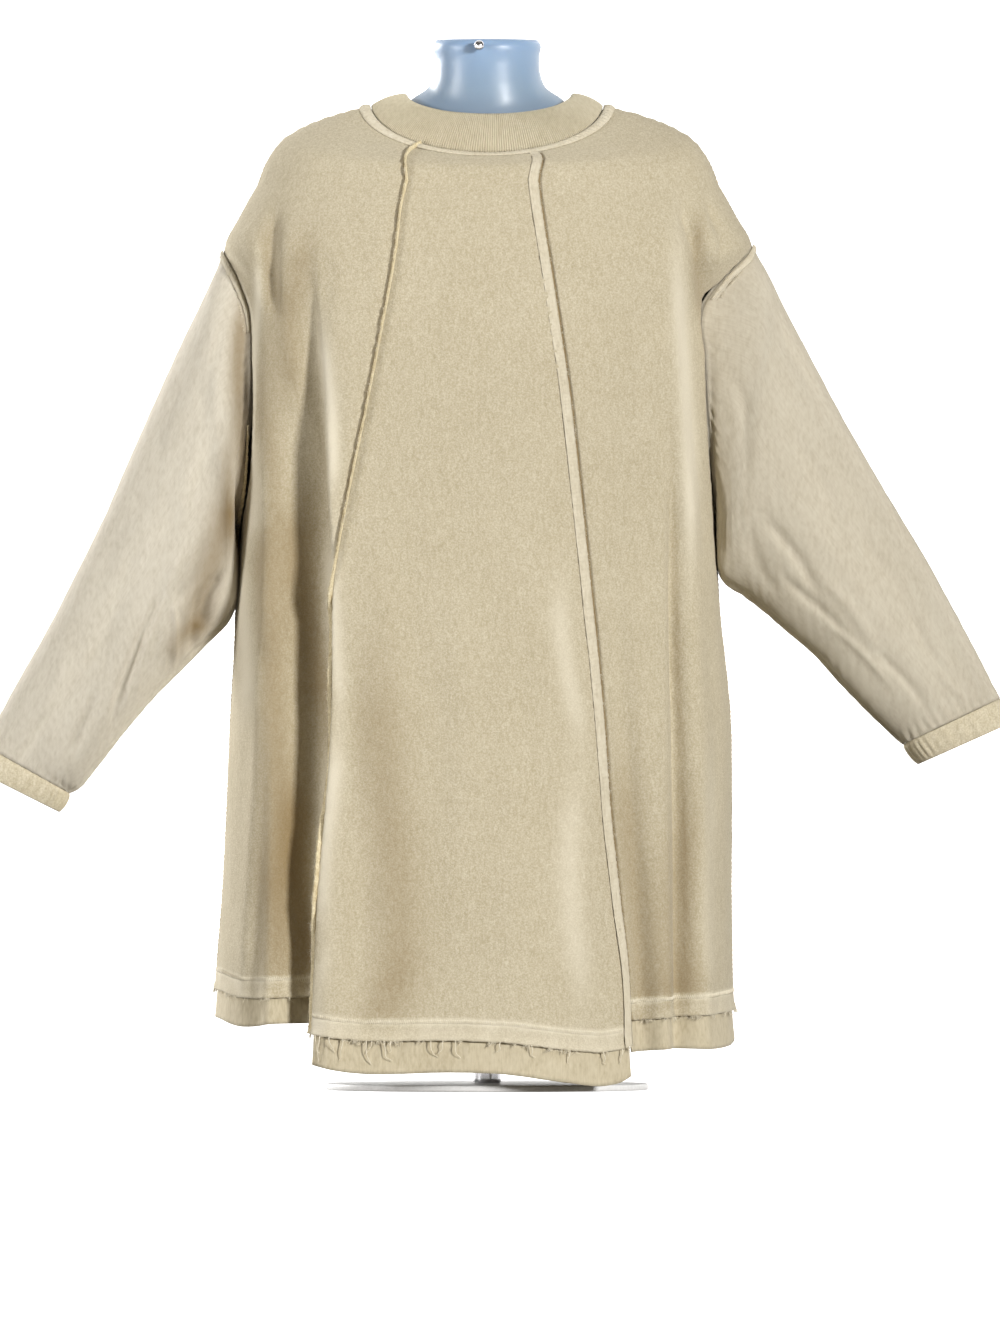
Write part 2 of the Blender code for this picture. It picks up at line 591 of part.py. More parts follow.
def build_stand(parts):
    floor = FORM_SECTIONS[0][0] - SEAM_GAP
    chrome = finish_of("stand_metal", (0.7, 0.7, 0.72, 1.0), 0.2, 1.0)
    pole = ((0, floor), (POLE_RADIUS, floor), (POLE_RADIUS, BASE_THICKNESS + SEAM_GAP),
            (0, BASE_THICKNESS + SEAM_GAP))
    turned("form_pole", pole, 20, parts, chrome)
    white = finish_of("base_metal", (0.8, 0.8, 0.8, 1.0), 0.35)
    base = ((0, BASE_THICKNESS), (BASE_RADIUS - BASE_EDGE, BASE_THICKNESS),
            (BASE_RADIUS, BASE_THICKNESS - BASE_EDGE), (BASE_RADIUS, 0), (0, 0))
    turned("form_base", base, 40, parts, white)
    steel = finish_of("knob_metal", (0.6, 0.6, 0.62, 1.0), 0.15, 1.0)
    reach = KNOB_RADIUS * 2 + KNOB_STEM
    profile = [(0, reach)]
    for k in range(1, 8):
        turn = math.pi * k / 9
        profile.append((KNOB_RADIUS * math.sin(turn), reach - KNOB_RADIUS * (1 - math.cos(turn))))
    profile += [(1.6, 1.2), (1.6, 0), (0, 0)]
    knob = turned("form_knob", profile, 14, parts, steel)
    knob.rotation_euler = (math.pi / 2, 0, 0)
    neck_back = FORM_NECK[3][2] * math.sqrt(1 - (KNOB_PLACE / FORM_NECK[3][1]) ** 2)
    knob.location = (KNOB_PLACE * MM, -(neck_back + SEAM_GAP) * MM, KNOB_HEIGHT * MM)


def build():
    for old in list(bpy.data.objects):
        bpy.data.objects.remove(old)
    parts = bpy.data.collections.new("sweatshirt_on_dress_form")
    bpy.context.scene.collection.children.link(parts)
    panels = build_panels(parts)
    build_hem_bands(parts, panels)
    for side in ("left", "right"):
        build_sleeve(parts, side)
    build_collar(parts, panels)
    build_neck_tape(parts, panels)
    build_back_seams(parts, panels)
    build_side_seams(parts, panels)
    build_form(parts)
    build_stand(parts)


build()
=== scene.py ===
import math
from math import pi, tau

import bpy
import numpy as np
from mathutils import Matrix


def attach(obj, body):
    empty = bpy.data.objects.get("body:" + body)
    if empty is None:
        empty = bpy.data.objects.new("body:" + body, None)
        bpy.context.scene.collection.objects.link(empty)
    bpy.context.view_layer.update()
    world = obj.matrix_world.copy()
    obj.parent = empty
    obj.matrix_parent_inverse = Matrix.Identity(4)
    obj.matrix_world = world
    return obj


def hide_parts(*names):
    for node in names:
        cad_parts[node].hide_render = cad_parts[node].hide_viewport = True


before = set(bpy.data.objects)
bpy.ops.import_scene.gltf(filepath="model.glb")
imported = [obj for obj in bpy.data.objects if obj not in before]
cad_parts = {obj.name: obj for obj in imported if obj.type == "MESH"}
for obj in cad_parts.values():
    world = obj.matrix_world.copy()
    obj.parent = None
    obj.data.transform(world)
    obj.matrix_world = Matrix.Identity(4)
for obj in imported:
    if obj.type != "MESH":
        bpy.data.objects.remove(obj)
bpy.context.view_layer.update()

# Looks of the long sweatshirt with its seams outside, on the limbless form that it hangs on.
# Lengths are in millimetres until a mesh is made. The back faces -Y, and left is -X, as seen from behind.

mm = 0.001

cut = {
    "underarmSlack": 2.0,
    "fallRound": 0.08,
    "sideShift": 0.03,  # an angle
    # height, left half width, right half width, back depth, front depth, squareness
    "bodySections": np.array((
        (0, 249, 226, 176, 176, 2.4), (63, 246, 223, 172, 172, 2.4), (101, 244, 221, 169, 169, 2.4),
        (171, 239, 220, 165, 166, 2.4), (225, 236, 220, 161, 163, 2.4), (335, 231, 219, 153, 157, 2.5),
        (382, 228, 215, 150, 154, 2.5), (428, 226, 210, 146, 152, 2.6), (477, 223, 207, 142, 149, 2.6),
        (531, 220, 204, 138, 147, 2.7), (597, 219, 203, 135, 145, 2.7), (661, 219, 202, 132, 140, 2.7),
        (702, 220, 200, 128, 134, 2.6), (729, 228, 217, 124, 128, 2.4), (758, 236, 238, 119, 121, 2.2),
        (785, 223, 225, 110, 108, 2.1), (817, 205, 207, 95, 92, 2.1),
    )),
    "neck": {"half": 105, "back": 62, "front": 84, "height": 886, "fallBack": 44, "fallFront": 90},
    "shoulderHeight": 817,
    "frontDip": 45,
    "frontDipLevels": 3,
    # share of the rows, out, down
    "shoulderCurve": np.array((
        (0.0, 0.0, 0.0), (0.3, 0.34, 0.13), (0.55, 0.62, 0.29), (0.75, 0.82, 0.49), (0.9, 0.94, 0.76),
        (1.0, 1.0, 1.0),
    )),
    "leftSeamAtNeck": -59,
    "rightSeamAtNeck": 42,
    # height, place across
    "leftSeam": np.array((
        (0, -159), (117, -155), (216, -147), (363, -139), (446, -138), (492, -131),
        (542, -122), (606, -109), (688, -93), (755, -81), (802, -75), (817, -71),
    )),
    "rightSeam": np.array((
        (0, 131), (117, 127), (171, 120), (243, 112), (335, 105), (455, 93),
        (577, 80), (621, 75), (711, 62), (801, 48), (817, 46),
    )),
    # top height, underarm height, half depth to the back and to the front
    "armhole": {"left": (757, 504, 56, 60), "right": (762, 517, 54, 58)},
    # side, top height, place at the top, place at the hem, half width, depth at the hem, lateness
    "folds": (
        (1, 760, -163, -176, 18, 38, 1.1), (1, 800, -176, -192, 12, -9, 1.0),
        (1, 820, -136, -140, 18, -9, 1.0), (1, 800, -196, -214, 10, 7, 1.0),
        (1, 600, 166, 178, 10, 12, 0.7), (1, 800, 150, 160, 12, -6, 0.7),
        (1, 800, 178, 196, 10, -5, 0.8), (1, 560, 112, 146, 10, 9, 1.0),
        (1, 760, -30, -62, 34, 6, 1.0), (1, 760, 26, 52, 40, -7, 1.0),
        (-1, 740, -120, -150, 22, 26, 1.1), (-1, 740, -80, -98, 24, -10, 1.0),
        (-1, 700, -20, -34, 26, 9, 1.0), (-1, 740, 60, 74, 26, -8, 1.0),
        (-1, 720, 108, 132, 20, 24, 1.1), (-1, 760, 150, 186, 16, -7, 1.0),
    ),
    # share across the panel, raw edge, bottom of the band
    "hems": {
        "back_left": np.array(((0, 92, 67), (0.3, 90, 64), (0.55, 84, 58), (0.8, 84, 61), (1, 86, 62))),
        "back_centre": np.array((
            (0, 52, 25), (0.15, 47, 18), (0.55, 45, 17), (0.75, 38, 9), (0.88, 36, 6),
            (0.96, 39, 10), (1, 42, 15))),
        "back_right": np.array((
            (0, 64, 36), (0.25, 67, 39), (0.5, 69, 38), (0.8, 72, 42), (1, 74, 48))),
        "front": np.array(((0, 74, 48), (0.25, 82, 54), (0.5, 88, 60), (0.75, 90, 62), (1, 92, 67))),
    },
    "stitchAboveEdge": 17,
    # upper edge across and up, lower edge across and up, half depth
    "sleeves": {
        "left": np.array((
            (-251, 720, -225.5, 466, 62), (-271, 680, -228, 430, 61), (-299, 619, -254, 399, 58),
            (-330, 549, -287, 366, 54), (-363, 477, -320, 330, 49), (-401, 405, -348, 294, 43),
            (-437, 341, -368, 271, 36), (-453, 311, -375, 267, 33),
        )),
        "right": np.array((
            (253, 733, 208, 487, 61), (267, 705, 211, 461, 60), (295, 652, 232, 444, 57),
            (325, 596, 260, 421, 53), (358, 540, 293, 392, 48), (395, 477, 323, 360, 43),
            (428, 418, 350, 333, 37), (462, 353, 374, 311, 33),
        )),
    },
    "cuffEnds": {"left": (-464, 290, -385, 250, 31), "right": (473, 331, 388, 293, 31)},
    "collar": {"half": 74, "back": 57, "front": 70, "height": 897, "fallBack": 19, "fallFront": 66},
    "collarCentre": 2,
}

# Creases pressed into the panels: from across and up, to across and up, half width, depth inward.
backCreases = (
    (168, 584, 180, -20, 4.5, 8), (-201, 700, -213, -40, 9, -8), (180, 810, 200, 690, 8, 9),
    (166, 800, 177, 440, 9, -6), (200, 797, 206, 768, 3.5, 4), (207, 786, 214, 748, 3.5, 3.5),
    (-192, 796, -197, 690, 7, 6), (-100, 455, 90, 457, 3, 0.6), (-150, 770, -145, 600, 9, 1.6),
    (-145, 620, -143, 470, 7, -2.2), (-205, 560, -196, 330, 8, 2.4), (-222, 640, -205, 420, 7, 2.0),
    (-195, 790, -192, 710, 7, 2.6), (-178, 700, -168, 540, 8, -1.8), (-60, 640, -70, 300, 16, 2.2),
    (-20, 480, -36, 120, 18, -2.6), (30, 440, 46, 100, 16, 2.6), (82, 330, 92, 70, 10, -2.6),
    (-110, 420, -118, 80, 14, 2.2), (60, 760, 74, 620, 10, 1.2), (120, 700, 134, 500, 9, 1.8),
    (150, 780, 158, 640, 9, -1.6), (186, 640, 192, 470, 6, 2.0), (170, 520, 176, 330, 5, 2.2),
    (-100, 300, -112, 90, 10, 1.5), (0, 790, -6, 690, 20, 0.9), (200, 420, 206, 220, 7, 1.8),
)
frontCreases = (
    (-60, 620, -76, 300, 14, 1.8), (20, 560, 30, 200, 16, 1.6), (90, 640, 104, 380, 10, -1.8),
    (-140, 640, -170, 430, 9, 2.2), (160, 620, 184, 420, 9, 2.2), (-30, 330, -20, 100, 12, -1.6),
    (130, 700, 160, 560, 9, 1.6), (-120, 720, -150, 580, 9, 1.6), (0, 760, 4, 640, 18, 1.2),
)
# The same on both faces of each sleeve.
sleeveCreases = {
    "left": (
        (-288, 470, -338, 326, 4, 3.4), (-268, 500, -318, 372, 6, -2.2), (-236, 470, -262, 410, 5, 3.8),
        (-283, 445, -280, 380, 3, -2.2), (-254, 452, -270, 388, 4, 2.8), (-312, 500, -350, 372, 7, 1.6),
        (-246, 505, -285, 430, 6, 2.2), (-300, 560, -352, 440, 9, 1.4), (-275, 650, -300, 560, 9, 1.5),
        (-340, 420, -382, 330, 6, 2.0), (-372, 400, -412, 322, 6, -1.6), (-256, 600, -276, 500, 8, -1.5),
        (-244, 690, -252, 600, 7, 1.6), (-352, 365, -372, 300, 4, 1.8), (-392, 340, -420, 300, 4, 1.5),
    ),
    "right": (
        (226, 640, 236, 540, 6, 2.0), (250, 520, 300, 440, 6, 2.2), (275, 600, 318, 500, 9, 1.4),
        (300, 470, 352, 392, 6, -1.6), (330, 520, 380, 430, 7, 1.4), (372, 440, 420, 360, 5, 1.6),
        (228, 505, 266, 440, 7, 1.5), (392, 400, 432, 345, 4, -1.4), (262, 690, 290, 620, 8, 1.2),
        (262, 470, 330, 396, 5, 1.8), (300, 430, 366, 360, 4, -1.5), (350, 400, 396, 340, 4, 1.6),
    ),
}

# Painted light and shade on the back, as the creases are given: above zero painted paler light, below zero
# painted brown shade.
backPaintedLightAndShade = (
    (-191, 720, -197, 60, 16, -0.5), (-196, 240, -199, 20, 15, -0.28), (-192, 790, -194, 690, 12, -0.3),
    (-160, 560, -159, 300, 17, -0.6), (-160, 320, -168, 30, 15, -0.6), (-168, 790, -172, 600, 13, -0.35),
    (-146, 700, -138, 520, 6, 0.9), (130, 330, 134, -20, 15, -0.38), (178, 290, 184, 20, 22, -0.32),
    (172, 130, 184, -20, 26, -0.25), (-84, 430, -92, 30, 24, -0.34), (-86, 130, -92, -10, 22, -0.25),
    (174, 790, 181, 440, 7.5, 0.75), (191, 795, 192, 680, 6, -0.4), (167, 590, 178, 80, 2.6, -0.3),
    (-135, 520, -137, 320, 8, 0.8), (-137, 340, -147, 120, 9, 0.8), (-149, 140, -152, 20, 9, 0.7),
    (196, 330, 204, 60, 7, 0.3), (78, 300, 82, 60, 12, 0.45), (-207, 765, -209, 600, 4, 0.9),
    (-209, 610, -216, 480, 10, 0.95), (-216, 500, -222, 320, 9, 0.8), (66, 470, 80, 300, 9, 0.5),
)
# Painted light and shade on the sleeves' back faces, as the creases are given: above zero paler, below zero
# browner.
sleevePaintedLightAndShade = {
    "left": (
        (-217, 735, -221, 520, 9, -0.68), (-229, 600, -233, 470, 7, -0.35),
        (-238, 560, -256, 385, 15, -0.62), (-256, 430, -286, 380, 10, -0.45),
    ),
    "right": (
        (250, 430, 360, 330, 12, 0.6),
    ),
}

# The deep fold left of the centre panel: height, right lip, left lip, depth, softness of the left lip.
deepFold = np.array((
    (-20, -159, -185, 26, 3.4), (60, -158, -185, 28, 3.4), (171, -152.5, -184, 32, 3.4),
    (300, -142, -186, 36, 3.0), (405, -140, -187, 38, 3.4), (480, -141.5, -188, 38, 5),
    (560, -147, -187.5, 34, 8), (620, -150.5, -183.5, 25, 9), (680, -153.5, -178, 13, 8),
    (730, -155, -174, 5, 7), (790, -155, -172, 0, 7), (900, -155, -172, 0, 7),
))


def clipped(value):
    return np.clip(value, 0, 1)


def bell(off, width):
    return np.exp(-(off / width) ** 2)


def xyz(x, y, z):
    return np.stack(np.broadcast_arrays(x, y, z), -1)


def oneLong(vectors):
    return vectors / np.maximum(np.linalg.norm(vectors, axis=-1, keepdims=True), 1e-9)


def smoothAt(at, table, column):
    # A curve through the table's points, with each slope taken from the neighbours.
    places, values = table[:, 0], table[:, column]
    slopes = np.gradient(values, places)
    i = np.clip(np.searchsorted(places, at) - 1, 0, len(places) - 2)
    span = places[i + 1] - places[i]
    f = clipped((at - places[i]) / span)
    g = 1 - f
    ends = values[i] * (1 + 2 * f) * g * g + values[i + 1] * (3 - 2 * f) * f * f
    return ends + span * (slopes[i] * f * g * g - slopes[i + 1] * f * f * g)


def superEllipse(angle, left, right, back, front, squareness=2.0):
    # Half widths times a power of the cosine, depths times the same power of the sine.
    across = np.where(np.cos(angle) > 0, left, right)
    deep = np.where(np.sin(angle) > 0, back, front)
    power = 2 / squareness
    x = -np.sign(np.cos(angle)) * across * np.abs(np.cos(angle)) ** power
    y = -np.sign(np.sin(angle)) * deep * np.abs(np.sin(angle)) ** power
    return x, y, across, deep


def softField(u, v, size, seed):
    # A gentle random field: seven sine waves in seeded directions, about one size long.
    rng = np.random.default_rng(seed)
    total = np.zeros(np.broadcast(u, v).shape)
    for _ in range(7):
        turn, phase, stretch = rng.uniform(0, tau), rng.uniform(0, tau), rng.uniform(0.6, 1.6)
        total += np.sin((u * math.cos(turn) + v * math.sin(turn)) * tau / (size * stretch) + phase)
    return total / 7


def creaseDepth(rows, x, z):
    # Each crease is a bell across its line, faded at both ends of the line.
    total = np.zeros_like(x)
    for x0, z0, x1, z1, width, depth in rows:
        along = np.hypot(x1 - x0, z1 - z0)
        dx, dz = (x1 - x0) / along, (z1 - z0) / along
        run = ((x - x0) * dx + (z - z0) * dz) / along
        off = (x - x0) * dz - (z - z0) * dx
        fade = clipped(np.minimum(run + 0.12, 1.12 - run) / 0.35) ** 2
        total += depth * fade * bell(off + width * 0.5 * np.sin(run * 5 + x0), width)
    return total


def foldedSection(angle, height, fine):
    # The body's section with its folds moved in along the section's own normal.
    columns = [smoothAt(height, cut["bodySections"], k) for k in range(1, 6)]
    x, y, across, deep = superEllipse(angle, *columns)
    power = columns[4] - 1
    outward = [np.sign(v) * np.abs(v / size) ** power / size for v, size in ((x, across), (y, deep))]
    move = np.zeros_like(x)
    for side, top, placeTop, placeHem, width, depth, late in cut["folds"][1 if fine else 0:]:
        down = clipped((top - height) / top)
        place = placeTop + (placeHem - placeTop) * down
        move += clipped(-side * y / 40) * depth * down ** late * bell(x - place, width)
    if fine:
        back = y < 0
        creases = np.where(back, creaseDepth(backCreases, x, height), creaseDepth(frontCreases, x, height))
        move += creases * clipped(np.abs(y) / 30)
        right, left, deepest, soft = (smoothAt(height, deepFold, k) for k in (1, 2, 3, 4))
        sharp = 0.6 + 1.6 * clipped((height - 420) / 200)
        right = 1 / (1 + np.exp(np.clip((x - right) / sharp, -60, 60)))
        move += np.where(back, deepest * (right - 1 / (1 + np.exp((x - left) / soft))), 0)
        # The soft fields are read round the section, so they meet at the sides.
        around, over = 170 * np.cos(angle) + 60 * np.sin(2 * angle), 120 * np.sin(angle)
        move += 1.1 * clipped((800 - height) / 300) * softField(around, height * 0.35 + over, 60, 3)
        move += 0.35 * softField(around, height + over, 24, 5)
    return xyz(x, y, height) - oneLong(xyz(*outward, 0)) * move[..., None]


def fallingRing(angle, fallShape, half, back, front, height, fallBack, fallFront):
    # An ellipse in plan that falls by one amount at the back and by another at the front.
    x, y, _, _ = superEllipse(angle, half, half, back, front)
    return xyz(x, y, height - np.where(np.sin(angle) > 0, fallBack, fallFront) * fallShape)


def roundedFall(angle):
    # The sine's size, sqrt(s^2 + e^2) - e scaled to reach 1 at the middle, so it has no peak at the sides.
    e = cut["fallRound"]
    return (np.sqrt(np.sin(angle) ** 2 + e * e) - e) / (math.sqrt(1 + e * e) - e)


def neckSeam(angle):
    return fallingRing(angle, roundedFall(angle), **cut["neck"])


def bodySurface(angle, level, fine=True):
    # Levels 0 to 1 go from the neck seam to the shoulder section, then one is 100 mm of height.
    angle, level = np.broadcast_arrays(angle, level)
    height = cut["shoulderHeight"] - 100 * np.maximum(level - 1, 0)
    dip = clipped(1 - (level - 1) / cut["frontDipLevels"])
    height = height - cut["frontDip"] * clipped(-np.sin(angle)) * dip
    low, high = foldedSection(angle, height, fine), neckSeam(angle)
    out, down = (smoothAt(clipped(level), cut["shoulderCurve"], k) for k in (1, 2))
    return high + (low - high) * xyz(out, out, down)


def surfaceNormals(grid):
    # Unit normals of a grid from its own rows and columns.
    return oneLong(np.cross(np.gradient(grid, axis=0), np.gradient(grid, axis=1)))


def levelOf(height):
    return 1 + (cut["shoulderHeight"] - height) / 100


def seamAngle(side, level):
    # The angle at which a back seam crosses each level, from its place across there.
    height = cut["shoulderHeight"] - 100 * np.maximum(level - 1, 0)
    way = 1 if side == "left" else -1
    half, squareness = (smoothAt(height, cut["bodySections"], k) for k in (1 if way > 0 else 2, 5))
    across = np.abs(smoothAt(height, cut[side + "Seam"], 1)) / half
    low = np.arccos(way * across ** (squareness / 2))
    high = math.acos(way * abs(cut[side + "SeamAtNeck"]) / cut["neck"]["half"])
    return high + (low - high) * smoothAt(clipped(level), cut["shoulderCurve"], 1)


def armholeAngle(side, face, turn):
    # The body angle of the armhole's edge at a turn from its top, and the height there.
    top, bottom, back, front = cut["armhole"][side]
    height = (top + bottom) / 2 + (top - bottom) / 2 * np.cos(turn)
    reach = (back if face == "back" else front) * np.sin(turn)
    deep, squareness = (smoothAt(height, cut["bodySections"], k) for k in (3 if face == "back" else 4, 5))
    return np.arcsin(clipped(reach / deep) ** (squareness / 2)), height


rowCounts = {"shoulder": 34, "cap": 8, "armhole": 60, "skirt": 96, "hem": 8}


def rowLevels(across, edge):
    # Levels of a panel's rows: neck to shoulder, cap, armhole, skirt, and stitch line to raw edge.
    left, right = cut["armhole"]["left"], cut["armhole"]["right"]
    top, bottom = (left[k] + (right[k] - left[k]) * across for k in (0, 1))
    shoulder, stitch = cut["shoulderHeight"], cut["stitchAboveEdge"]
    even = {key: np.linspace(0, 1, count + 1)[:, None] for key, count in rowCounts.items()}
    heights = (shoulder + (top - shoulder) * even["cap"][1:-1],
               (top + bottom) / 2 + (top - bottom) / 2 * np.cos(pi * even["armhole"]),
               bottom + (edge + stitch - bottom) * even["skirt"][1:], edge + stitch * (1 - even["hem"][1:]))
    neck = np.linspace(0, 1, rowCounts["shoulder"])[:, None] + 0 * across
    return np.concatenate((neck, levelOf(np.concatenate(heights))))


def sideAngles(side, face):
    # The armhole's edge, with the shoulder and side seams a few millimetres to the front of the sides.
    shift = -cut["sideShift"] if face == "back" else cut["sideShift"]
    edge = armholeAngle(side, face, np.linspace(0, pi, rowCounts["armhole"] + 1))[0]
    edge = edge + shift * clipped(1 - edge / 0.08)
    before, after = rowCounts["shoulder"] + rowCounts["cap"] - 1, rowCounts["skirt"] + rowCounts["hem"]
    return np.concatenate((np.full(before, shift), edge, np.full(after, shift)))


def panelEdges(name, levels):
    left = seamAngle("left", levels[:, -1 if name == "back_left" else 0])
    right = seamAngle("right", levels[:, -1 if name == "back_centre" else 0])
    return {
        "back_left": (sideAngles("left", "back"), left), "back_centre": (left, right),
        "back_right": (right, pi - sideAngles("right", "back")),
        "front": (pi + sideAngles("right", "front"), tau - sideAngles("left", "front")),
    }[name]


def readAt(at, places, values):
    # Each of three columns of values, read between its places.
    return np.stack([np.interp(at, places, values[:, k]) for k in range(3)], -1)


def arcLengths(points, axis):
    # Running length along a grid's rows or columns.
    steps = np.linalg.norm(np.diff(points, axis=axis), axis=-1)
    start = np.zeros_like(np.take(steps, [0], axis=axis))
    return np.concatenate((start, np.cumsum(steps, axis=axis)), axis=axis)


def drawnIn(points, gap):
    # Opens a seam's gap by moving the first and last columns towards their neighbours.
    points = points.copy()
    for edge, near in ((0, 1), (-1, -2)):
        points[:, edge] += oneLong(points[:, near] - points[:, edge]) * gap
    return points


def withValues(thing, **values):
    for key, value in values.items():
        setattr(thing, key, value)
    return thing


def inScene(name, data):
    made = bpy.data.objects.new(name, data)
    bpy.context.scene.collection.objects.link(made)
    return made


def finished(name, mesh, finish, nodes=()):
    # A smooth piece in its finish, on the body, in place of the CAD nodes named.
    mesh.shade_smooth()
    mesh.materials.append(finishes[finish])
    made = inScene(name, mesh)
    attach(made, "root")
    if nodes:
        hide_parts(*nodes)
    return made


def gridMesh(name, grid, finish, nodes=(), wall=0.0, outward=None, closed=False, caps=False,
             uv=None, fade=None):
    # A grid of points as quads that face the outward vectors, with a wall inward where it is cloth.
    rows, columns = grid.shape[:2]
    index = np.arange(rows * columns).reshape(rows, columns)
    base, across = (index, np.roll(index, -1, axis=1)) if closed else (index[:, :-1], index[:, 1:])
    quads = np.stack((base[:-1], across[:-1], across[1:], base[1:]), -1).reshape(-1, 4)
    ends = index[0][::-1], index[-1]
    corners = grid.reshape(-1, 3)[quads]
    facing = np.cross(corners[:, 2] - corners[:, 0], corners[:, 3] - corners[:, 1])
    if outward is None:
        outward = grid - grid.mean(axis=1, keepdims=True)
    if np.sum(facing * outward.reshape(-1, 3)[quads[:, 0]]) < 0:
        quads, ends = quads[:, ::-1], (index[0], index[-1][::-1])
    order, starts = quads.ravel(), np.arange(0, quads.size, 4)
    if caps:
        order, starts = np.concatenate((order, *ends)), np.append(starts, (quads.size, quads.size + columns))
    if uv is None:
        lengths = arcLengths(grid, 1).max(axis=0), arcLengths(grid, 0).max(axis=1)[:, None]
        uv = np.stack(np.broadcast_arrays(*lengths), -1) * mm
    mesh = bpy.data.meshes.new(name)
    mesh.vertices.add(rows * columns)
    mesh.vertices.foreach_set("co", (grid * mm).astype(np.float32).ravel())
    mesh.loops.add(len(order))
    mesh.loops.foreach_set("vertex_index", order.astype(np.int32))
    mesh.polygons.add(len(starts))
    mesh.polygons.foreach_set("loop_start", starts.astype(np.int32))
    places = uv.reshape(-1, 2)[order].astype(np.float32)
    mesh.uv_layers.new(name="cloth").data.foreach_set("uv", places.ravel())
    # The cloth's mask of wear and of painted light and shade, read by its material.
    if fade is not None:
        values = mesh.attributes.new("wornAndPaintedShading", "FLOAT", "POINT").data
        values.foreach_set("value", fade.astype(np.float32).ravel())
    mesh.update(calc_edges=True)
    mesh.validate()
    made = finished(name, mesh, finish, nodes)
    if wall:
        withValues(made.modifiers.new("wall", "SOLIDIFY"), thickness=wall * mm, offset=-1)
    return made


def tubeMesh(name, paths, radius, sides, taper=1.0):
    # Many short threads in one mesh: each path's points get a ring of sides, and both ends are closed.
    count, steps = paths.shape[:2]
    tangent = oneLong(np.gradient(paths, axis=1))
    guide = np.where(np.abs(tangent[..., 2:3]) > 0.9, (1.0, 0.0, 0.0), (0.0, 0.0, 1.0))
    side = oneLong(np.cross(tangent, guide))
    turns = np.linspace(0, tau, sides, endpoint=False)[:, None]
    ring = side[:, :, None] * np.cos(turns) + np.cross(tangent, side)[:, :, None] * np.sin(turns)
    points = paths[:, :, None] + ring * (radius * np.linspace(1, taper, steps))[None, :, None, None]
    index = np.arange(count * steps * sides).reshape(count, steps, sides)
    after = np.roll(index, -1, axis=2)
    quads = np.stack((index[:, 1:], after[:, 1:], after[:, :-1], index[:, :-1]), -1).reshape(-1, 4)
    mesh = bpy.data.meshes.new(name)
    mesh.from_pydata((points.reshape(-1, 3) * mm).tolist(), [],
                     quads.tolist() + index[:, 0].tolist() + index[:, -1, ::-1].tolist())
    return finished(name, mesh, "thread")


def feed(tree, socket, value):
    # A link where the value is another node's socket; a colour gets its fourth number.
    if isinstance(value, bpy.types.NodeSocket):
        tree.links.new(value, socket)
    elif value is not None:
        socket.default_value = (*value, 1) if socket.type == "RGBA" else value


def addNode(tree, kind, inputs=None, **settings):
    node = withValues(tree.nodes.new("ShaderNode" + kind), **settings)
    for key, value in (inputs or {}).items():
        feed(tree, node.inputs[key], value)
    return node.outputs


def maths(tree, operation, a, b=None):
    return addNode(tree, "Math", {0: a, 1: b}, operation=operation)[0]


def weighted(tree, a, partA, b, partB):
    # The sum of two values, each times its part.
    return maths(tree, "ADD", maths(tree, "MULTIPLY", a, partA), maths(tree, "MULTIPLY", b, partB))


def noise(tree, place, scale, detail, roughness=0.55, stretch=None):
    if stretch:
        place = addNode(tree, "VectorMath", {0: place, 1: stretch}, operation="MULTIPLY")[0]
    inputs = {"Vector": place, "Scale": scale, "Detail": detail, "Roughness": roughness}
    return addNode(tree, "TexNoise", inputs)["Fac"]


def colourRamp(tree, value, stops):
    ramp = tree.nodes.new("ShaderNodeValToRGB")
    elements = ramp.color_ramp.elements
    while len(elements) < len(stops):
        elements.new(0.5)
    for element, (place, colour) in zip(elements, stops):
        element.position = place
        element.color = (*colour, 1)
    feed(tree, ramp.inputs["Fac"], value)
    return ramp.outputs["Color"]


def mixed(tree, part, a, b, blend="MIX"):
    # The mix node's factor, two colours and colour result, by their places among its sockets.
    return addNode(tree, "Mix", {0: part, 6: a, 7: b}, data_type="RGBA", blend_type=blend)[2]


def nodeGroup(name, numbers, outputs):
    # A shader group with a place, some numbers with their usual values, and its outputs.
    group = bpy.data.node_groups.new(name, "ShaderNodeTree")
    group.interface.new_socket("Place", in_out="INPUT", socket_type="NodeSocketVector")
    for label, value in numbers.items():
        socket = group.interface.new_socket(label, in_out="INPUT", socket_type="NodeSocketFloat")
        socket.default_value = value
    for label in outputs:
        group.interface.new_socket(label, in_out="OUTPUT", socket_type="NodeSocketFloat")
    groups[name] = group
    return group, group.nodes.new("NodeGroupInput").outputs, group.nodes.new("NodeGroupOutput").inputs


def waveTurn(tree, coordinate, reach, pitch):
    return maths(tree, "DIVIDE", maths(tree, "MULTIPLY", coordinate, reach * 1000), pitch)


def napGroup():
    # Brushed nap: broad clouds, short streaks down the cloth and fine specks between the tufts.
    group, start, end = nodeGroup("nap", {}, ("Tone", "Shade", "Height"))
    place = start["Place"]
    clouds, streaks = noise(group, place, 14, 3), noise(group, place, 330, 3, stretch=(1, 1, 0.4))
    tufts, fine = noise(group, place, 640, 4, 0.7), noise(group, place, 1500, 2, 0.6)
    feed(group, end["Tone"], weighted(group, clouds, 0.25, streaks, 0.75))
    feed(group, end["Shade"], maths(group, "MULTIPLY", maths(group, "SUBTRACT", tufts, 0.42), 2.2))
    feed(group, end["Height"], weighted(group, tufts, 0.7, fine, 0.3))


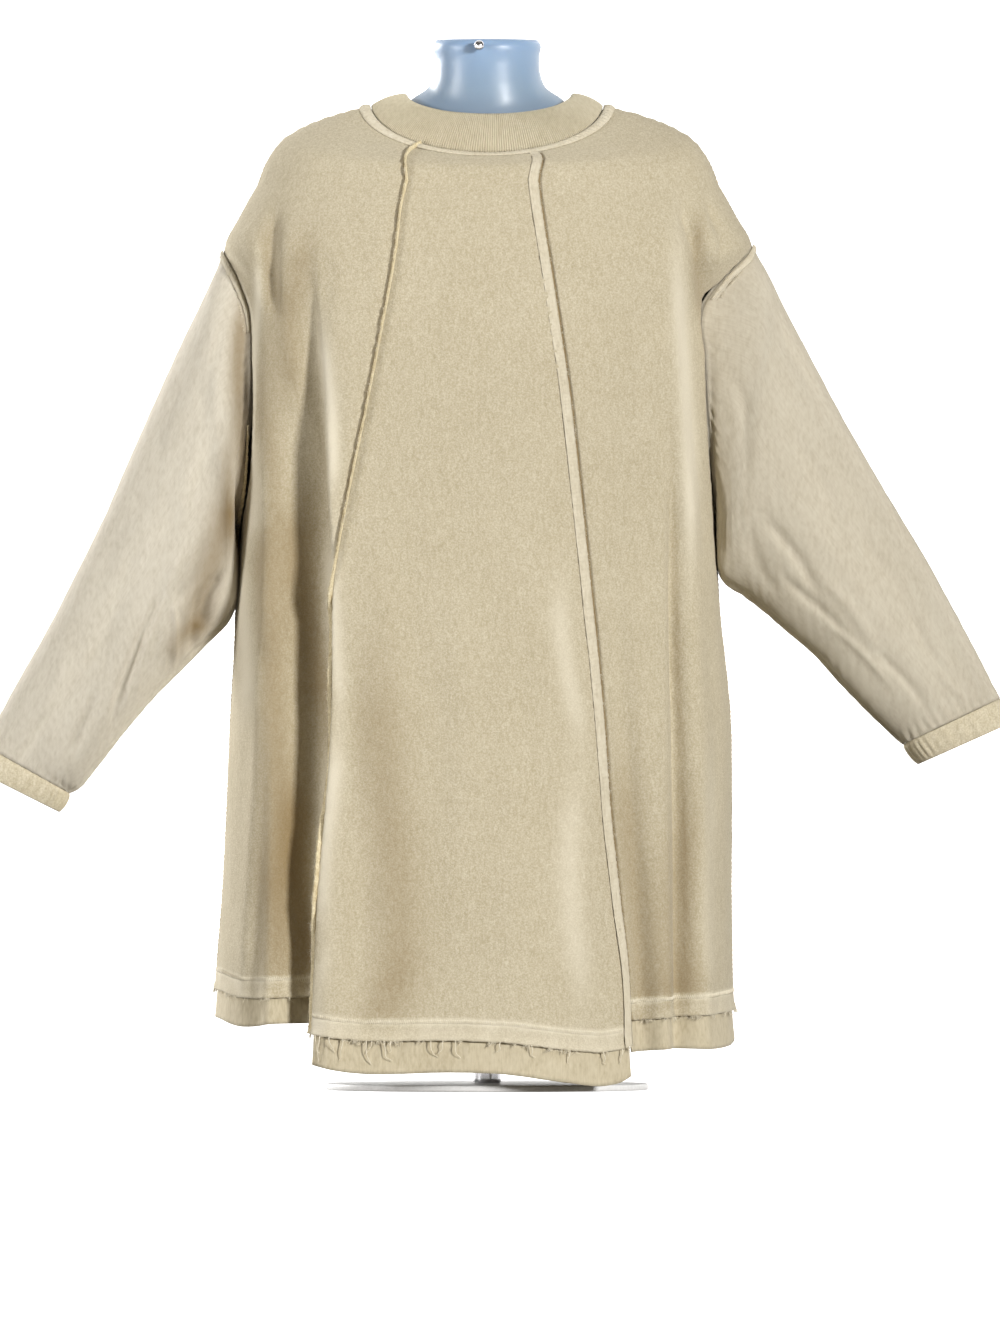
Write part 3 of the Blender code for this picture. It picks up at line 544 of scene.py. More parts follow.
def knitGroup():
    # Smooth knitted face: fine wales along the UV map's width, courses down it, and slubs.
    group, start, end = nodeGroup("knit", {"Wale": 0.9, "Course": 0.8}, ("Height", "Shade"))
    split = addNode(group, "SeparateXYZ", {0: start["Place"]})
    across = waveTurn(group, split["X"], tau, start["Wale"])
    wale = maths(group, "ABSOLUTE", maths(group, "SINE", maths(group, "MULTIPLY", across, 0.5)))
    lean = maths(group, "MULTIPLY", wale, 1.6)
    down = waveTurn(group, split["Y"], tau, start["Course"])
    course = maths(group, "SINE", maths(group, "ADD", down, lean))
    feed(group, end["Height"], weighted(group, wale, 0.7, course, 0.2))
    feed(group, end["Shade"], noise(group, start["Place"], 900, 2, stretch=(1, 0.06, 1)))


def ribGroup():
    # Ribs across the UV map: a rounded wave, deep between the ribs.
    group, start, end = nodeGroup("rib", {"Pitch": 2.2}, ("Height", "Shade"))
    split = addNode(group, "SeparateXYZ", {0: start["Place"]})
    wave = maths(group, "ABSOLUTE", maths(group, "SINE", waveTurn(group, split["X"], pi, start["Pitch"])))
    feed(group, end["Height"], wave)
    feed(group, end["Shade"], maths(group, "POWER", maths(group, "SUBTRACT", 1.0, wave), 2.0))


groups = {}
napGroup()
knitGroup()
ribGroup()

white = (1, 1, 1)
# The pale colour is for rubbed cloth and for painted light; the brown colour is painted shade.
wornAndPaintedLightColour = (0.78, 0.72, 0.58)
paintedShadeColour = (0.22, 0.142, 0.048)
clothKinds = {
    # roughness, sheen's tint, places of the tones, shade of the cloth's own face, parts of the bump
    "nap": (0.95, (0.95, 0.9, 0.78), (0.28, 0.5, 0.74), ((0, (0.8, 0.77, 0.7)), (0.45, white)), (1, 0)),
    "knit": (0.85, (0.95, 0.92, 0.85), (0.3, 0.5, 0.72), ((0.35, (0.93, 0.92, 0.9)), (0.6, white)),
             (1, 0.6)),
    "rib": (0.9, (0.95, 0.9, 0.8), (0.3, 0.5, 0.7), ((0, white), (1, (0.7, 0.66, 0.58))), (0.8, 0.3)),
}
clothFinishes = {
    # name, kind, sheen, depth of the bump, three tones, the group's numbers
    "fleece": ("fleeceReverse", "nap", 0.35, 0.0009,
               ((0.53, 0.47, 0.34), (0.605, 0.545, 0.412), (0.66, 0.605, 0.472)), {}),
    "sleeve": ("sleeveFace", "knit", 0.2, 0.00022,
               ((0.575, 0.515, 0.4), (0.645, 0.588, 0.472), (0.69, 0.64, 0.522)), {}),
    # The left sleeve is the same knit in lighter tones: painted light from a lamp on the left.
    "leftSleeve": ("sleeveFacePaintedLighter", "knit", 0.2, 0.00022,
                   ((0.62, 0.57, 0.465), (0.7, 0.65, 0.545), (0.75, 0.705, 0.6)), {}),
    "band": ("hemBandFace", "knit", 0.2, 0.00022,
             ((0.5, 0.43, 0.29), (0.6, 0.53, 0.38), (0.66, 0.59, 0.44)), {}),
    "cuff": ("cuffBand", "nap", 0.25, 0.0005,
             ((0.56, 0.5, 0.37), (0.67, 0.61, 0.47), (0.73, 0.67, 0.54)), {}),
    "rib": ("collarRib", "rib", 0.25, 0.0005,
            ((0.51, 0.455, 0.325), (0.575, 0.52, 0.385), (0.625, 0.57, 0.44)), {}),
    "tape": ("seamTape", "knit", 0.2, 0.0002,
             ((0.63, 0.565, 0.42), (0.73, 0.665, 0.52), (0.79, 0.735, 0.6)), {"Wale": 0.7, "Course": 0.6}),
    # The flat tape is a slightly darker copy of the tape's colours: painted shade.
    "flatTape": ("flatSeamTape", "knit", 0.2, 0.0002,
                 ((0.61, 0.545, 0.41), (0.7, 0.635, 0.49), (0.76, 0.7, 0.56)), {"Wale": 0.7, "Course": 0.6}),
    "raw": ("rawEdge", "nap", 0.3, 0.0007, ((0.6, 0.49, 0.29), (0.8, 0.71, 0.49), (0.88, 0.8, 0.6)), {}),
    "thread": ("looseThread", "knit", 0.2, 0.0001,
               ((0.66, 0.6, 0.46), (0.77, 0.71, 0.57), (0.84, 0.79, 0.66)), {"Wale": 0.4, "Course": 0.4}),
}


def newMaterial(name, inputs):
    material = bpy.data.materials.new(name)
    material.use_nodes = True
    tree = material.node_tree
    shader = tree.nodes["Principled BSDF"]
    for key, value in {"Specular IOR Level": 0.25, **inputs}.items():
        feed(tree, shader.inputs[key], value)
    return material, tree, shader.inputs


def bumped(tree, shader, height, distance):
    normal = addNode(tree, "Bump", {"Strength": 1.0, "Distance": distance, "Height": height})["Normal"]
    feed(tree, shader["Normal"], normal)


def clothMaterial(name, kind, sheen, depth, tones, numbers):
    # Three tones by the nap's clouds, times the shade of the cloth's own face, then worn places and painted
    # light and shade.
    roughness, tint, places, shades, parts = clothKinds[kind]
    inputs = {"Roughness": roughness, "Sheen Weight": sheen, "Sheen Roughness": 0.5, "Sheen Tint": tint}
    material, tree, shader = newMaterial(name, inputs)
    coords = addNode(tree, "TexCoord")
    nap = addNode(tree, "Group", {0: coords["Object"]}, node_tree=groups["nap"])
    face = nap
    if kind != "nap":
        face = addNode(tree, "Group", {0: coords["UV"], **numbers}, node_tree=groups[kind])
    tone = colourRamp(tree, nap["Tone"], tuple(zip(places, tones)))
    colour = mixed(tree, 1.0, tone, colourRamp(tree, face["Shade"], shades), "MULTIPLY")
    # Above zero the attribute pales the cloth for wear and for painted light; below zero it browns the cloth
    # as painted shade.
    wearAndShadeMask = addNode(tree, "Attribute", attribute_name="wornAndPaintedShading")["Fac"]
    colour = mixed(tree, wearAndShadeMask, colour, wornAndPaintedLightColour)
    colour = mixed(tree, maths(tree, "MULTIPLY", wearAndShadeMask, -1.0), colour, paintedShadeColour)
    feed(tree, shader["Base Color"], colour)
    bumped(tree, shader, weighted(tree, face["Height"], parts[0], nap["Height"], parts[1]), depth)
    return material


def plasticMaterial():
    # Glossy pale blue plastic with faint moulding waves; painted shade makes it darker low on the neck.
    material, tree, shader = newMaterial("formPlastic", {
        "Roughness": 0.42, "Specular IOR Level": 0.4, "Coat Weight": 0.2, "Coat Roughness": 0.3,
        "Subsurface Weight": 0.15, "Subsurface Radius": (0.02, 0.03, 0.05)})
    place = addNode(tree, "TexCoord")["Object"]
    height = addNode(tree, "SeparateXYZ", {0: place})["Z"]
    rise = maths(tree, "DIVIDE", maths(tree, "SUBTRACT", height, 0.86), 0.085)
    # Painted shade: the colour darkens from the neck's top down towards the collar.
    tones = ((0.0, (0.16, 0.2, 0.26)), (0.45, (0.24, 0.33, 0.44)), (1.0, (0.27, 0.4, 0.6)))
    feed(tree, shader["Base Color"], colourRamp(tree, rise, tones))
    bumped(tree, shader, noise(tree, place, 30, 2), 0.0012)
    return material


def metalMaterial(name, colour, roughness, metallic):
    # Plated or enamelled metal with fine scuffs in its roughness.
    material, tree, shader = newMaterial(name, {"Metallic": metallic})
    grain = noise(tree, addNode(tree, "TexCoord")["Object"], 260, 4)
    tones = ((0.3, tuple(c * 0.9 for c in colour)), (0.7, colour))
    feed(tree, shader["Base Color"], colourRamp(tree, grain, tones))
    feed(tree, shader["Roughness"], maths(tree, "ADD", maths(tree, "MULTIPLY", grain, 0.15), roughness))
    return material


finishes = {key: clothMaterial(*looks) for key, looks in clothFinishes.items()}
finishes["plastic"] = plasticMaterial()
finishes["chrome"] = metalMaterial("platedSteel", (0.62, 0.62, 0.64), 0.12, 1.0)
finishes["enamel"] = metalMaterial("whiteEnamel", (0.86, 0.86, 0.86), 0.3, 0.0)
print("materials made")

panelNames = ("back_left", "back_centre", "back_right", "front")
panelLooks = {
    "columns": (84, 110, 80, 130),
    "span": ((0, 0.22), (0.22, 0.78), (0.78, 1), (1, 0)),
    "seamPucker": 0.5, "puckerPitch": 13, "puckerReach": 9, "edgeWander": 0.8, "hemFade": 0.4, "paintedSeamShade": 0.9,
}


def columnShares(name):
    # The columns are closer beside the fold and beside the flat tape.
    shares = np.linspace(0, 1, panelLooks["columns"][panelNames.index(name)] + 1)
    if name == "back_left":
        return 1 - (1 - shares) ** 1.35
    return shares ** 1.5 if name == "back_right" else shares


def panelGrid(name):
    # A panel's points: its angles run between its seams, its levels from the neck to its raw edge.
    looks, shares = panelLooks, columnShares(name)
    span = looks["span"][panelNames.index(name)]
    edge = smoothAt(shares, cut["hems"][name], 1) + looks["edgeWander"] * softField(shares * 400, 0, 9, 31)
    levels = rowLevels(span[0] + (span[1] - span[0]) * shares, edge)
    first, last = panelEdges(name, levels)
    angles = first[:, None] + (last - first)[:, None] * shares
    grid = bodySurface(angles, levels)
    normal = surfaceNormals(grid)
    reach, down = arcLengths(grid, 1), arcLengths(grid, 0)
    toEnd, toHem = reach[:, -1:] - reach, down[-1:] - down
    fromSeam = np.minimum(reach, toEnd)
    ripple = np.sin(down * tau / looks["puckerPitch"] + 2.5 * softField(down, reach, 40, 8))
    lift = looks["seamPucker"] * ripple * bell(fromSeam, looks["puckerReach"]) * clipped(fromSeam / 2)
    fromStitch = np.abs(toHem - cut["stitchAboveEdge"])
    lift -= 0.25 * bell(fromStitch, 4)
    lift += 0.8 * softField(reach, down * 0.3, 16, 12) * bell(toHem, 22)
    lift += (1.5 + 0.8 * softField(reach, 0, 22, 19)) * bell(toHem, 5)
    if name == "back_right":
        lift -= 2.0 * bell(reach - 0.9, 1.2) * clipped(down / 20)
    grid = grid + normal * lift[..., None]
    # The cloth is rubbed pale along the stitches, and a little down to the raw edge.
    below = 1 - clipped((toHem - cut["stitchAboveEdge"]) / 3)
    fade = 0.75 * bell(fromStitch, 2.6) + looks["hemFade"] * below
    fade = clipped(fade * (0.85 + 0.5 * softField(reach, down, 30, 33)))
    # Painted shade beside the seams, as the same value below zero: a brown line right of the flat tape and
    # one left of the standing seam.
    if name == "back_right":
        fade -= looks["paintedSeamShade"] * bell(reach - 0.8, 0.9)
    if name == "back_left":
        fade -= 0.8 * looks["paintedSeamShade"] * bell(toEnd - 1.8, 1.0)
    # Painted shade along the armhole's edge, in the gap between the body and the sleeve.
    if name != "back_centre":
        opening = np.zeros((len(grid), 1))
        opening[rowCounts["shoulder"] + rowCounts["cap"] + 4:][:rowCounts["armhole"] - 10] = 1
        fromSide = {"front": fromSeam, "back_left": reach, "back_right": toEnd}[name]
        fade -= 0.7 * looks["paintedSeamShade"] * opening * bell(fromSide - 0.9, 1.2)
    x, y, height = grid[..., 0], grid[..., 1], grid[..., 2]
    # Painted light and shade on the back, from its table.
    fade += np.where(y < 0, creaseDepth(backPaintedLightAndShade, x, height), 0)
    # Painted light: a pale band along the left panel's edge, where a lamp from the left lights its rim.
    if name == "back_left":
        fade += 0.9 * clipped((height - 400) / 60) * clipped((740 - height) / 30) * bell(reach - 4, 2.6)
    return grid, surfaceNormals(grid), np.clip(fade, -0.9, 1), angles[-1]


panels = {}
for name in panelNames:
    grid, normal, fade, angles = panelGrid(name)
    gridMesh("cloth_" + name, drawnIn(grid, 0.05), "fleece", [name], 1.5, normal, fade=fade)
    panels[name] = {"grid": grid, "normal": normal, "angles": angles}
print("panels made")

hemLooks = {"rows": 14, "start": 0.9, "under": 2.2, "wander": 0.9, "flare": 1.2}


def hemGrid(name):
    # The folded band: it starts inside the panel at the stitch line and hangs below the raw edge.
    shares, looks = columnShares(name), hemLooks
    edge, bottom = (smoothAt(shares, cut["hems"][name], k) for k in (1, 2))
    top = edge + cut["stitchAboveEdge"] * looks["start"]
    down = np.linspace(0, 1, looks["rows"])[:, None]
    grid = bodySurface(panels[name]["angles"][None], levelOf(top + (bottom - top) * down))
    reach = arcLengths(grid, 1)
    wave = looks["wander"] * softField(reach, 0, 34, 17) * down
    under = looks["under"] + 0.25 * np.sin(reach * tau / 7) * (1 - down) - looks["flare"] * down * down
    return drawnIn(grid - surfaceNormals(grid) * (under - wave)[..., None], 1.2)


for name in panelNames:
    grid = hemGrid(name)
    gridMesh("cloth_hem_" + name, grid, "band", ["hem_" + name], 1.6, surfaceNormals(grid))
print("hem bands made")

sleeveLooks = {
    "columns": 150, "rows": 150, "tucked": 4, "armholePucker": 0.9, "cuffPucker": 1.5,
    "underarmSeam": 1.5, "seamTurn": 0.3, "hugGap": 0.5, "hugFrom": {"left": 430, "right": 458},
    "rootDeep": {"left": 9, "right": 4}, "rootReach": {"left": 22, "right": 7},
}


def sectionRing(row, turns):
    # A slightly squared ellipse between the section's upper and lower edges, with its half depth along Y.
    high, low = np.array((row[0], 0, row[1])), np.array((row[2], 0, row[3]))
    up, back = (np.sign(f) * np.abs(f) ** 0.76 for f in (np.cos(turns)[:, None], np.sin(turns)[:, None]))
    return (high + low) / 2 + up * (high - low) / 2 + back * np.array((0, -row[4], 0))


def sleeveRings(side, turns):
    # The armhole's edge, a little inside it and drawn out at the underarm, then the sleeve's sections.
    backAngle, height = armholeAngle(side, "back", turns)
    angle = np.where(turns <= pi, backAngle, -armholeAngle(side, "front", tau - turns)[0])
    first = bodySurface(angle if side == "left" else pi - angle, levelOf(height), fine=False)
    first = first + oneLong(first.mean(axis=0) - first) * 0.6
    first[:, 0] += (-1 if side == "left" else 1) * (0.3 + cut["underarmSlack"] * (1 - np.cos(turns)) / 2)
    return np.stack([first] + [sectionRing(row, turns) for row in cut["sleeves"][side]])


def throughRings(rings, rows):
    # Smooth rows through the given rings, by their own mean running length.
    steps = np.linalg.norm(np.diff(rings, axis=0), axis=-1).mean(axis=1)
    places = np.concatenate(([0], np.cumsum(steps)))
    at = np.linspace(0, places[-1], rows)
    table = np.concatenate((places[:, None], rings.reshape(len(rings), -1)), axis=1)
    columns = [smoothAt(at, table, k) for k in range(1, table.shape[1])]
    return np.stack(columns, -1).reshape(rows, rings.shape[1], 3), at


def closedNormals(grid):
    # Outward normals of a closed tube of points.
    around = np.roll(grid, -1, axis=1) - np.roll(grid, 1, axis=1)
    cross = oneLong(np.cross(around, np.gradient(grid, axis=0)))
    return cross * np.sign(np.sum(cross * (grid - grid.mean(axis=1, keepdims=True))))


def sleeveGrid(side):
    # The sleeve between its rings, with the listed creases, a soft hang and puckers at both seams.
    looks, outward = sleeveLooks, -1 if side == "left" else 1
    even = np.linspace(0, tau, looks["columns"], endpoint=False)
    # The columns are closest round the lower back, where the seam and most creases are.
    turns = even - 0.45 * (np.sin(even - 2.4) + math.sin(2.4))
    grid, at = throughRings(sleeveRings(side, turns), looks["rows"])
    normal = closedNormals(grid)
    depth = creaseDepth(sleeveCreases[side], grid[..., 0], grid[..., 2])
    depth *= 1.6 * clipped(np.abs(normal[..., 1]) * 1.6)
    along, girth = at[:, None], arcLengths(grid, 1)
    ends = at[-1] - along
    depth += 0.9 * softField(along, girth, 70, 21) + 0.4 * softField(along, girth, 26, 22)
    puff = np.sin(girth * tau / 9 + 2 * softField(along, girth, 30, 23)) * 0.5 + 0.5
    depth += looks["cuffPucker"] * puff * bell(ends, 16)
    starts = np.sin(girth * tau / 12 + 2 * softField(along, girth, 40, 24))
    depth += looks["armholePucker"] * starts * bell(along, 12)
    depth *= clipped(along / 6) * clipped(ends / 3 + 0.35)
    # Beside the body's edge the back face sinks in behind it, from a third of the way down the armhole.
    root = clipped((turns - 1.05) / 0.5) * clipped((pi + 0.5 - turns) / 0.5)
    sunk = bell(along, looks["rootReach"][side]) * (0.45 + 0.55 * clipped(along / 6))
    depth += looks["rootDeep"][side] * root * sunk
    # Beside the body the lower edge hugs the body's side, and more so on its front half.
    x, height = grid[..., 0], grid[..., 2]
    columns = (1 if side == "left" else 2, 4, 5)
    half, deep, squareness = (smoothAt(height, cut["bodySections"], k) for k in columns)
    inDepth = np.clip(np.abs(grid[..., 1]) / deep, 0, 0.97)
    body = outward * (half * (1 - inDepth ** squareness) ** (1 / squareness) + looks["hugGap"])
    pull = np.exp(-(np.abs(turns - pi) / np.where(turns > pi, 1.0, 0.5)) ** 4)
    pull = pull * clipped((height - looks["hugFrom"][side]) / 14) * clipped((560 - height) / 30)
    x += np.where(outward * (x - body) > 0, (body - x) * pull, 0)
    # The underarm seam: a channel a little way up the back face, with its allowance as a ridge below it.
    fromSeam = turns - (pi - looks["seamTurn"])
    channel = bell(fromSeam, 0.04) - 0.7 * bell(fromSeam - 0.1, 0.055)
    depth += looks["underarmSeam"] * channel * clipped((along - 30) / 60)
    grid = grid - normal * depth[..., None]
    # Its first rows tuck in behind the body's raw edge.
    s = np.linspace(1, 0, looks["tucked"] + 1)[:-1, None, None]
    tucks = grid[0] - normal[0] * 3.2 * np.sin(s * pi / 2) + s * np.array((-6.0 * outward, 0, 0))
    return np.concatenate((tucks, grid)), np.concatenate((normal[:1].repeat(len(s), 0), normal)), turns


sleeves = {}
# The left sleeve takes the lighter copy of the sleeve's colours, which is painted light.
for side, finish in (("left", "leftSleeve"), ("right", "sleeve")):
    grid, normal, turns = sleeveGrid(side)
    x, y, height = grid[..., 0], grid[..., 1], grid[..., 2]
    # Painted light and shade on each sleeve's back face, from its table.
    fade = np.where(y < y.mean(axis=1, keepdims=True), creaseDepth(sleevePaintedLightAndShade[side], x, height), 0)
    gridMesh("cloth_sleeve_" + side, grid, finish, ["sleeve_" + side], 1.5, normal, True,
             fade=fade)
    sleeves[side] = {"grid": grid, "normal": normal, "turns": turns}
print("sleeves made")

cuffLooks = {"columns": 160, "rows": 22, "puckerPitch": 7.5, "puckerDeep": 1.7, "roll": 2.2, "seamDip": 0.8}


def cuffGrid(side):
    # The gathered cuff: it bulges between its two edges, and small puckers run across it.
    turns = np.linspace(0, tau, cuffLooks["columns"], endpoint=False)
    end, last = sectionRing(cut["cuffEnds"][side], turns), sectionRing(cut["sleeves"][side][-1], turns)
    start = last + oneLong(end - last) * 0.3
    shares = np.linspace(0, 1, cuffLooks["rows"])[:, None]
    grid = start + (end - start) * shares[..., None]
    normal = closedNormals(grid)
    girth = arcLengths(grid, 1)[:, -1:].max() * turns / tau
    puff = np.sin(girth * tau / cuffLooks["puckerPitch"] + 1.6 * softField(girth, 0, 50, 41))
    gathered = cuffLooks["puckerDeep"] * (0.5 + 0.5 * puff * (0.65 + 0.35 * np.sin(girth * tau / 31 + 1)))
    depth = (gathered - cuffLooks["roll"]) * np.sin(pi * shares) ** 0.7
    depth += cuffLooks["seamDip"] * bell(shares, 0.08)
    return grid - normal * depth[..., None], normal


for side in ("left", "right"):
    grid, normal = cuffGrid(side)
    gridMesh("cloth_cuff_" + side, grid, "cuff", ["cuff_" + side], 1.8, normal, True)
print("cuffs made")

collarLooks = {"ribPitch": 2.2, "ribDeep": 0.55, "perRib": 5, "rows": 16, "seamDip": 0.9, "bulge": 2.5,
               "roll": 1.6, "high": 34}


def collarGrid():
    # The rib collar: real ribs round the neck, its seam dipped and its top edge rolled over.
    looks = collarLooks
    girth = arcLengths(neckSeam(np.linspace(0, tau, 2000)), 0)[-1]
    ribs = int(girth / looks["ribPitch"])
    angle = np.linspace(0, tau, ribs * looks["perRib"], endpoint=False)
    top = fallingRing(angle, roundedFall(angle), **cut["collar"]) + (cut["collarCentre"], 0, 0)
    seam = neckSeam(angle)
    start = seam + oneLong(top - seam) * 0.4
    shares = np.linspace(0, 1, looks["rows"])[:, None]
    grid = start + (top - start) * shares[..., None]
    grid[..., 2] += np.sin(pi * shares) * looks["bulge"]
    normal = closedNormals(grid)
    ribbed = (np.abs(np.sin(angle * ribs / 2)) - 0.6) * np.clip((1 - shares) / 0.06, 0.25, 1)
    lift = looks["ribDeep"] * ribbed - looks["seamDip"] * bell(shares, 0.06)
    lift += 0.5 * softField(np.cos(angle) * 90, np.sin(angle) * 90, 50, 51) * shares
    # The top edge rolls inward over its last rows.
    lift -= looks["roll"] * clipped((shares - 0.9) / 0.1) ** 2
    uv = np.broadcast_arrays(np.linspace(0, ribs * looks["ribPitch"], len(angle)), looks["high"] * shares)
    return grid + normal * lift[..., None], normal, np.stack(uv, -1) * mm


grid, normal, uv = collarGrid()
gridMesh("cloth_collar", grid, "rib", ["collar"], 1.9, normal, True, uv=uv)
print("collar made")

tapeLooks = {"wide": 10.0, "crown": 1.2, "rows": 8, "ruck": 0.35, "ruckPitch": 4.2, "columns": 900}


def neckTapeGrid():
    # A domed narrow tape just below the neck seam, gently rucked by its two rows of stitches.
    angle = np.linspace(0, tau, tapeLooks["columns"], endpoint=False)
    near, far = (bodySurface(angle, level, fine=False) for level in (0, 0.12))
    way = oneLong(far - near)
    out = oneLong(np.cross(np.roll(near, -1, axis=0) - np.roll(near, 1, axis=0), way))
    out *= np.sign(out[:, 2:3])
    s = np.linspace(0, 1, tapeLooks["rows"])[:, None]
    inner = (s > 0) & (s < 1)
    dome = tapeLooks["crown"] * np.sqrt(np.abs(np.sin(pi * s))) * inner
    grooves = 0.45 * (bell(s - 0.2, 0.08) + bell(s - 0.8, 0.08))
    ruck = tapeLooks["ruck"] * np.sin(arcLengths(near, 0) * tau / tapeLooks["ruckPitch"] + 3 * s) * inner
    lift = (0.7 + dome - grooves + ruck)[..., None]
    return near + way * (0.4 + tapeLooks["wide"] * s)[..., None] + out * lift, out + 0 * lift


grid, out = neckTapeGrid()
gridMesh("cloth_neck_tape", grid, "tape", ["neck_tape"], 0.5, out, True)
print("neck tape made")

formCut = {
    # height, half width, back depth, front depth, squareness
    "sections": ((225, 156, 96, 90, 2.2), (250, 160, 100, 93, 2.2), (290, 158, 102, 94, 2.2),
                 (340, 146, 97, 92, 2.2), (400, 128, 84, 88, 2.2), (440, 121, 78, 84, 2.2),
                 (480, 123, 78, 84, 2.2), (540, 134, 82, 93, 2.2), (600, 149, 90, 108, 2.2),
                 (640, 156, 94, 114, 2.2), (700, 162, 94, 104, 2.2), (740, 167, 88, 88, 2.2),
                 (780, 174, 78, 72, 2.1), (812, 182, 66, 60, 2.1)),
    "neckBase": (83, 44, 46, 878, 42, 50),  # as the neck seam of the body is given
    # share of the way out, and down, from the neck's base to the shoulders
    "shoulders": ((0.95, 0.6), (0.82, 0.28), (0.66, 0.15), (0.33, 0.06), (0.0, 0.0)),
    # height, half width, half depth
    "neck": ((893, 66, 50), (901, 54, 47), (914, 48, 46), (930, 47, 46), (943, 47, 46), (945, 45, 44)),
    "neckFall": (20, 44),
    "columns": 110,
    "rows": 170,
    "floor": 225,
    "gap": 0.3,
    "knob": {"radius": 4.6, "height": 939, "place": -7, "stem": 5.0},
    "pole": 12.5,
    "base": {"radius": 145, "thick": 6, "edge": 2},
}


def formGrid():
    # Horizontal sections up to the shoulders, then rings that rise to the neck and its flat top.
    angle = np.linspace(0, tau, formCut["columns"], endpoint=False)
    peak, tops = np.abs(np.sin(angle)), [row[0] for row in formCut["neck"]]
    rings = []
    for height, half, back, front, squareness in formCut["sections"]:
        x, y, _, _ = superEllipse(angle, half, half, back, front, squareness)
        rings.append(xyz(x, y, height))
    top, base = rings[-1], fallingRing(angle, peak, *formCut["neckBase"])
    rings += [base + (top - base) * (out, out, down) for out, down in formCut["shoulders"]]
    for height, half, deep in formCut["neck"]:
        left = clipped((tops[-2] - height) / (tops[-2] - tops[0]))
        rings.append(fallingRing(angle, peak * left, half, deep, deep, height, *formCut["neckFall"]))
    return throughRings(np.stack(rings), formCut["rows"])[0]


def latheGrid(profile, sides):
    # A turned shape from radius and height pairs, listed from its top to its underside.
    turns = np.linspace(0, tau, sides, endpoint=False)
    radius, height = np.array(profile, float).T[..., None]
    return xyz(-np.cos(turns) * radius, -np.sin(turns) * radius, height)


def formPart(name, grid, finish, node):
    gridMesh(name, grid, finish, [node], closed=True, caps=True)


formPart("form_torso", formGrid(), "plastic", "form_body")

pole, base, knob, gap = formCut["pole"], formCut["base"], formCut["knob"], formCut["gap"]
poleTop, baseTop = formCut["floor"] - gap, base["thick"]
profile = [(pole - 0.6, poleTop), (pole, poleTop - 0.6)]
profile += [(pole, height) for height in np.linspace(poleTop - 4, baseTop + 4, 12)]
profile += [(pole, baseTop + 0.9), (pole - 0.6, baseTop + gap)]
formPart("form_pole_tube", latheGrid(profile, 64), "chrome", "form_pole")

wide, edge = base["radius"], base["edge"]
profile = [(radius, baseTop) for radius in (20, 60, 100, 130, wide - edge - 1)]
for turn in np.linspace(0, pi / 2, 7):
    profile.append((wide - edge + edge * math.sin(turn), baseTop - edge + edge * math.cos(turn)))
profile += [(wide, 2.0), (wide - 0.4, 0.6), (wide - 1.2, 0.05), (wide - 10, 0.05), (40, 0.05)]
formPart("form_base_disc", latheGrid(profile, 128), "enamel", "form_base")

ball, reach = knob["radius"], knob["radius"] * 2 + knob["stem"]
profile = [(0.4, reach)]
for turn in np.linspace(0.25, pi - 0.4, 18):
    profile.append((ball * math.sin(turn), reach - ball * (1 - math.cos(turn))))
knobGrid = latheGrid(profile + [(1.6, 4.4), (1.6, 1.0), (1.6, 0.05)], 48)
# The knob's axis is laid level, out of the back of the neck.
neckBack = 46 * math.sqrt(1 - (knob["place"] / 47) ** 2) + gap
x, y, z = np.moveaxis(knobGrid, -1, 0)
knobGrid = xyz(x + knob["place"], -z - neckBack, y + knob["height"])
formPart("form_knob_ball", knobGrid, "chrome", "form_knob")
print("form made")


def evenLine(points, lateral, normal, step):
    # A line at even steps along it, with its two side directions steadied over their neighbours.
    reach = arcLengths(points, 0)
    at = np.linspace(0, reach[-1], max(int(reach[-1] / step), 4))
    line, side, up = (readAt(at, reach, values) for values in (points, lateral, normal))
    kernel = np.ones(19) / 19
    side, up = (oneLong(np.stack([np.convolve(np.pad(v[:, k], 9, mode="edge"), kernel, "valid")
                                  for k in range(3)], -1)) for v in (side, up))
    return {"line": line, "side": side, "up": up, "at": at}


def panelLine(name, column, step, low=-1000, high=2000):
    # A panel's border column as a seam line, with its side direction pointing into the panel.
    points, normal = panels[name]["grid"], panels[name]["normal"]
    keep = (points[:, column, 2] >= low) & (points[:, column, 2] <= high)
    into = points[:, 2 if column == 0 else -3] - points[:, column]
    return evenLine(points[keep, column], into[keep], normal[keep, column], step)


def sweptStrip(frameLine, across, lift):
    # Section points, one row for each place along the line: across along its side, lift along its up.
    line, side, up = (frameLine[key][:, None] for key in ("line", "side", "up"))
    return line + side * across[..., None] + up * lift[..., None]


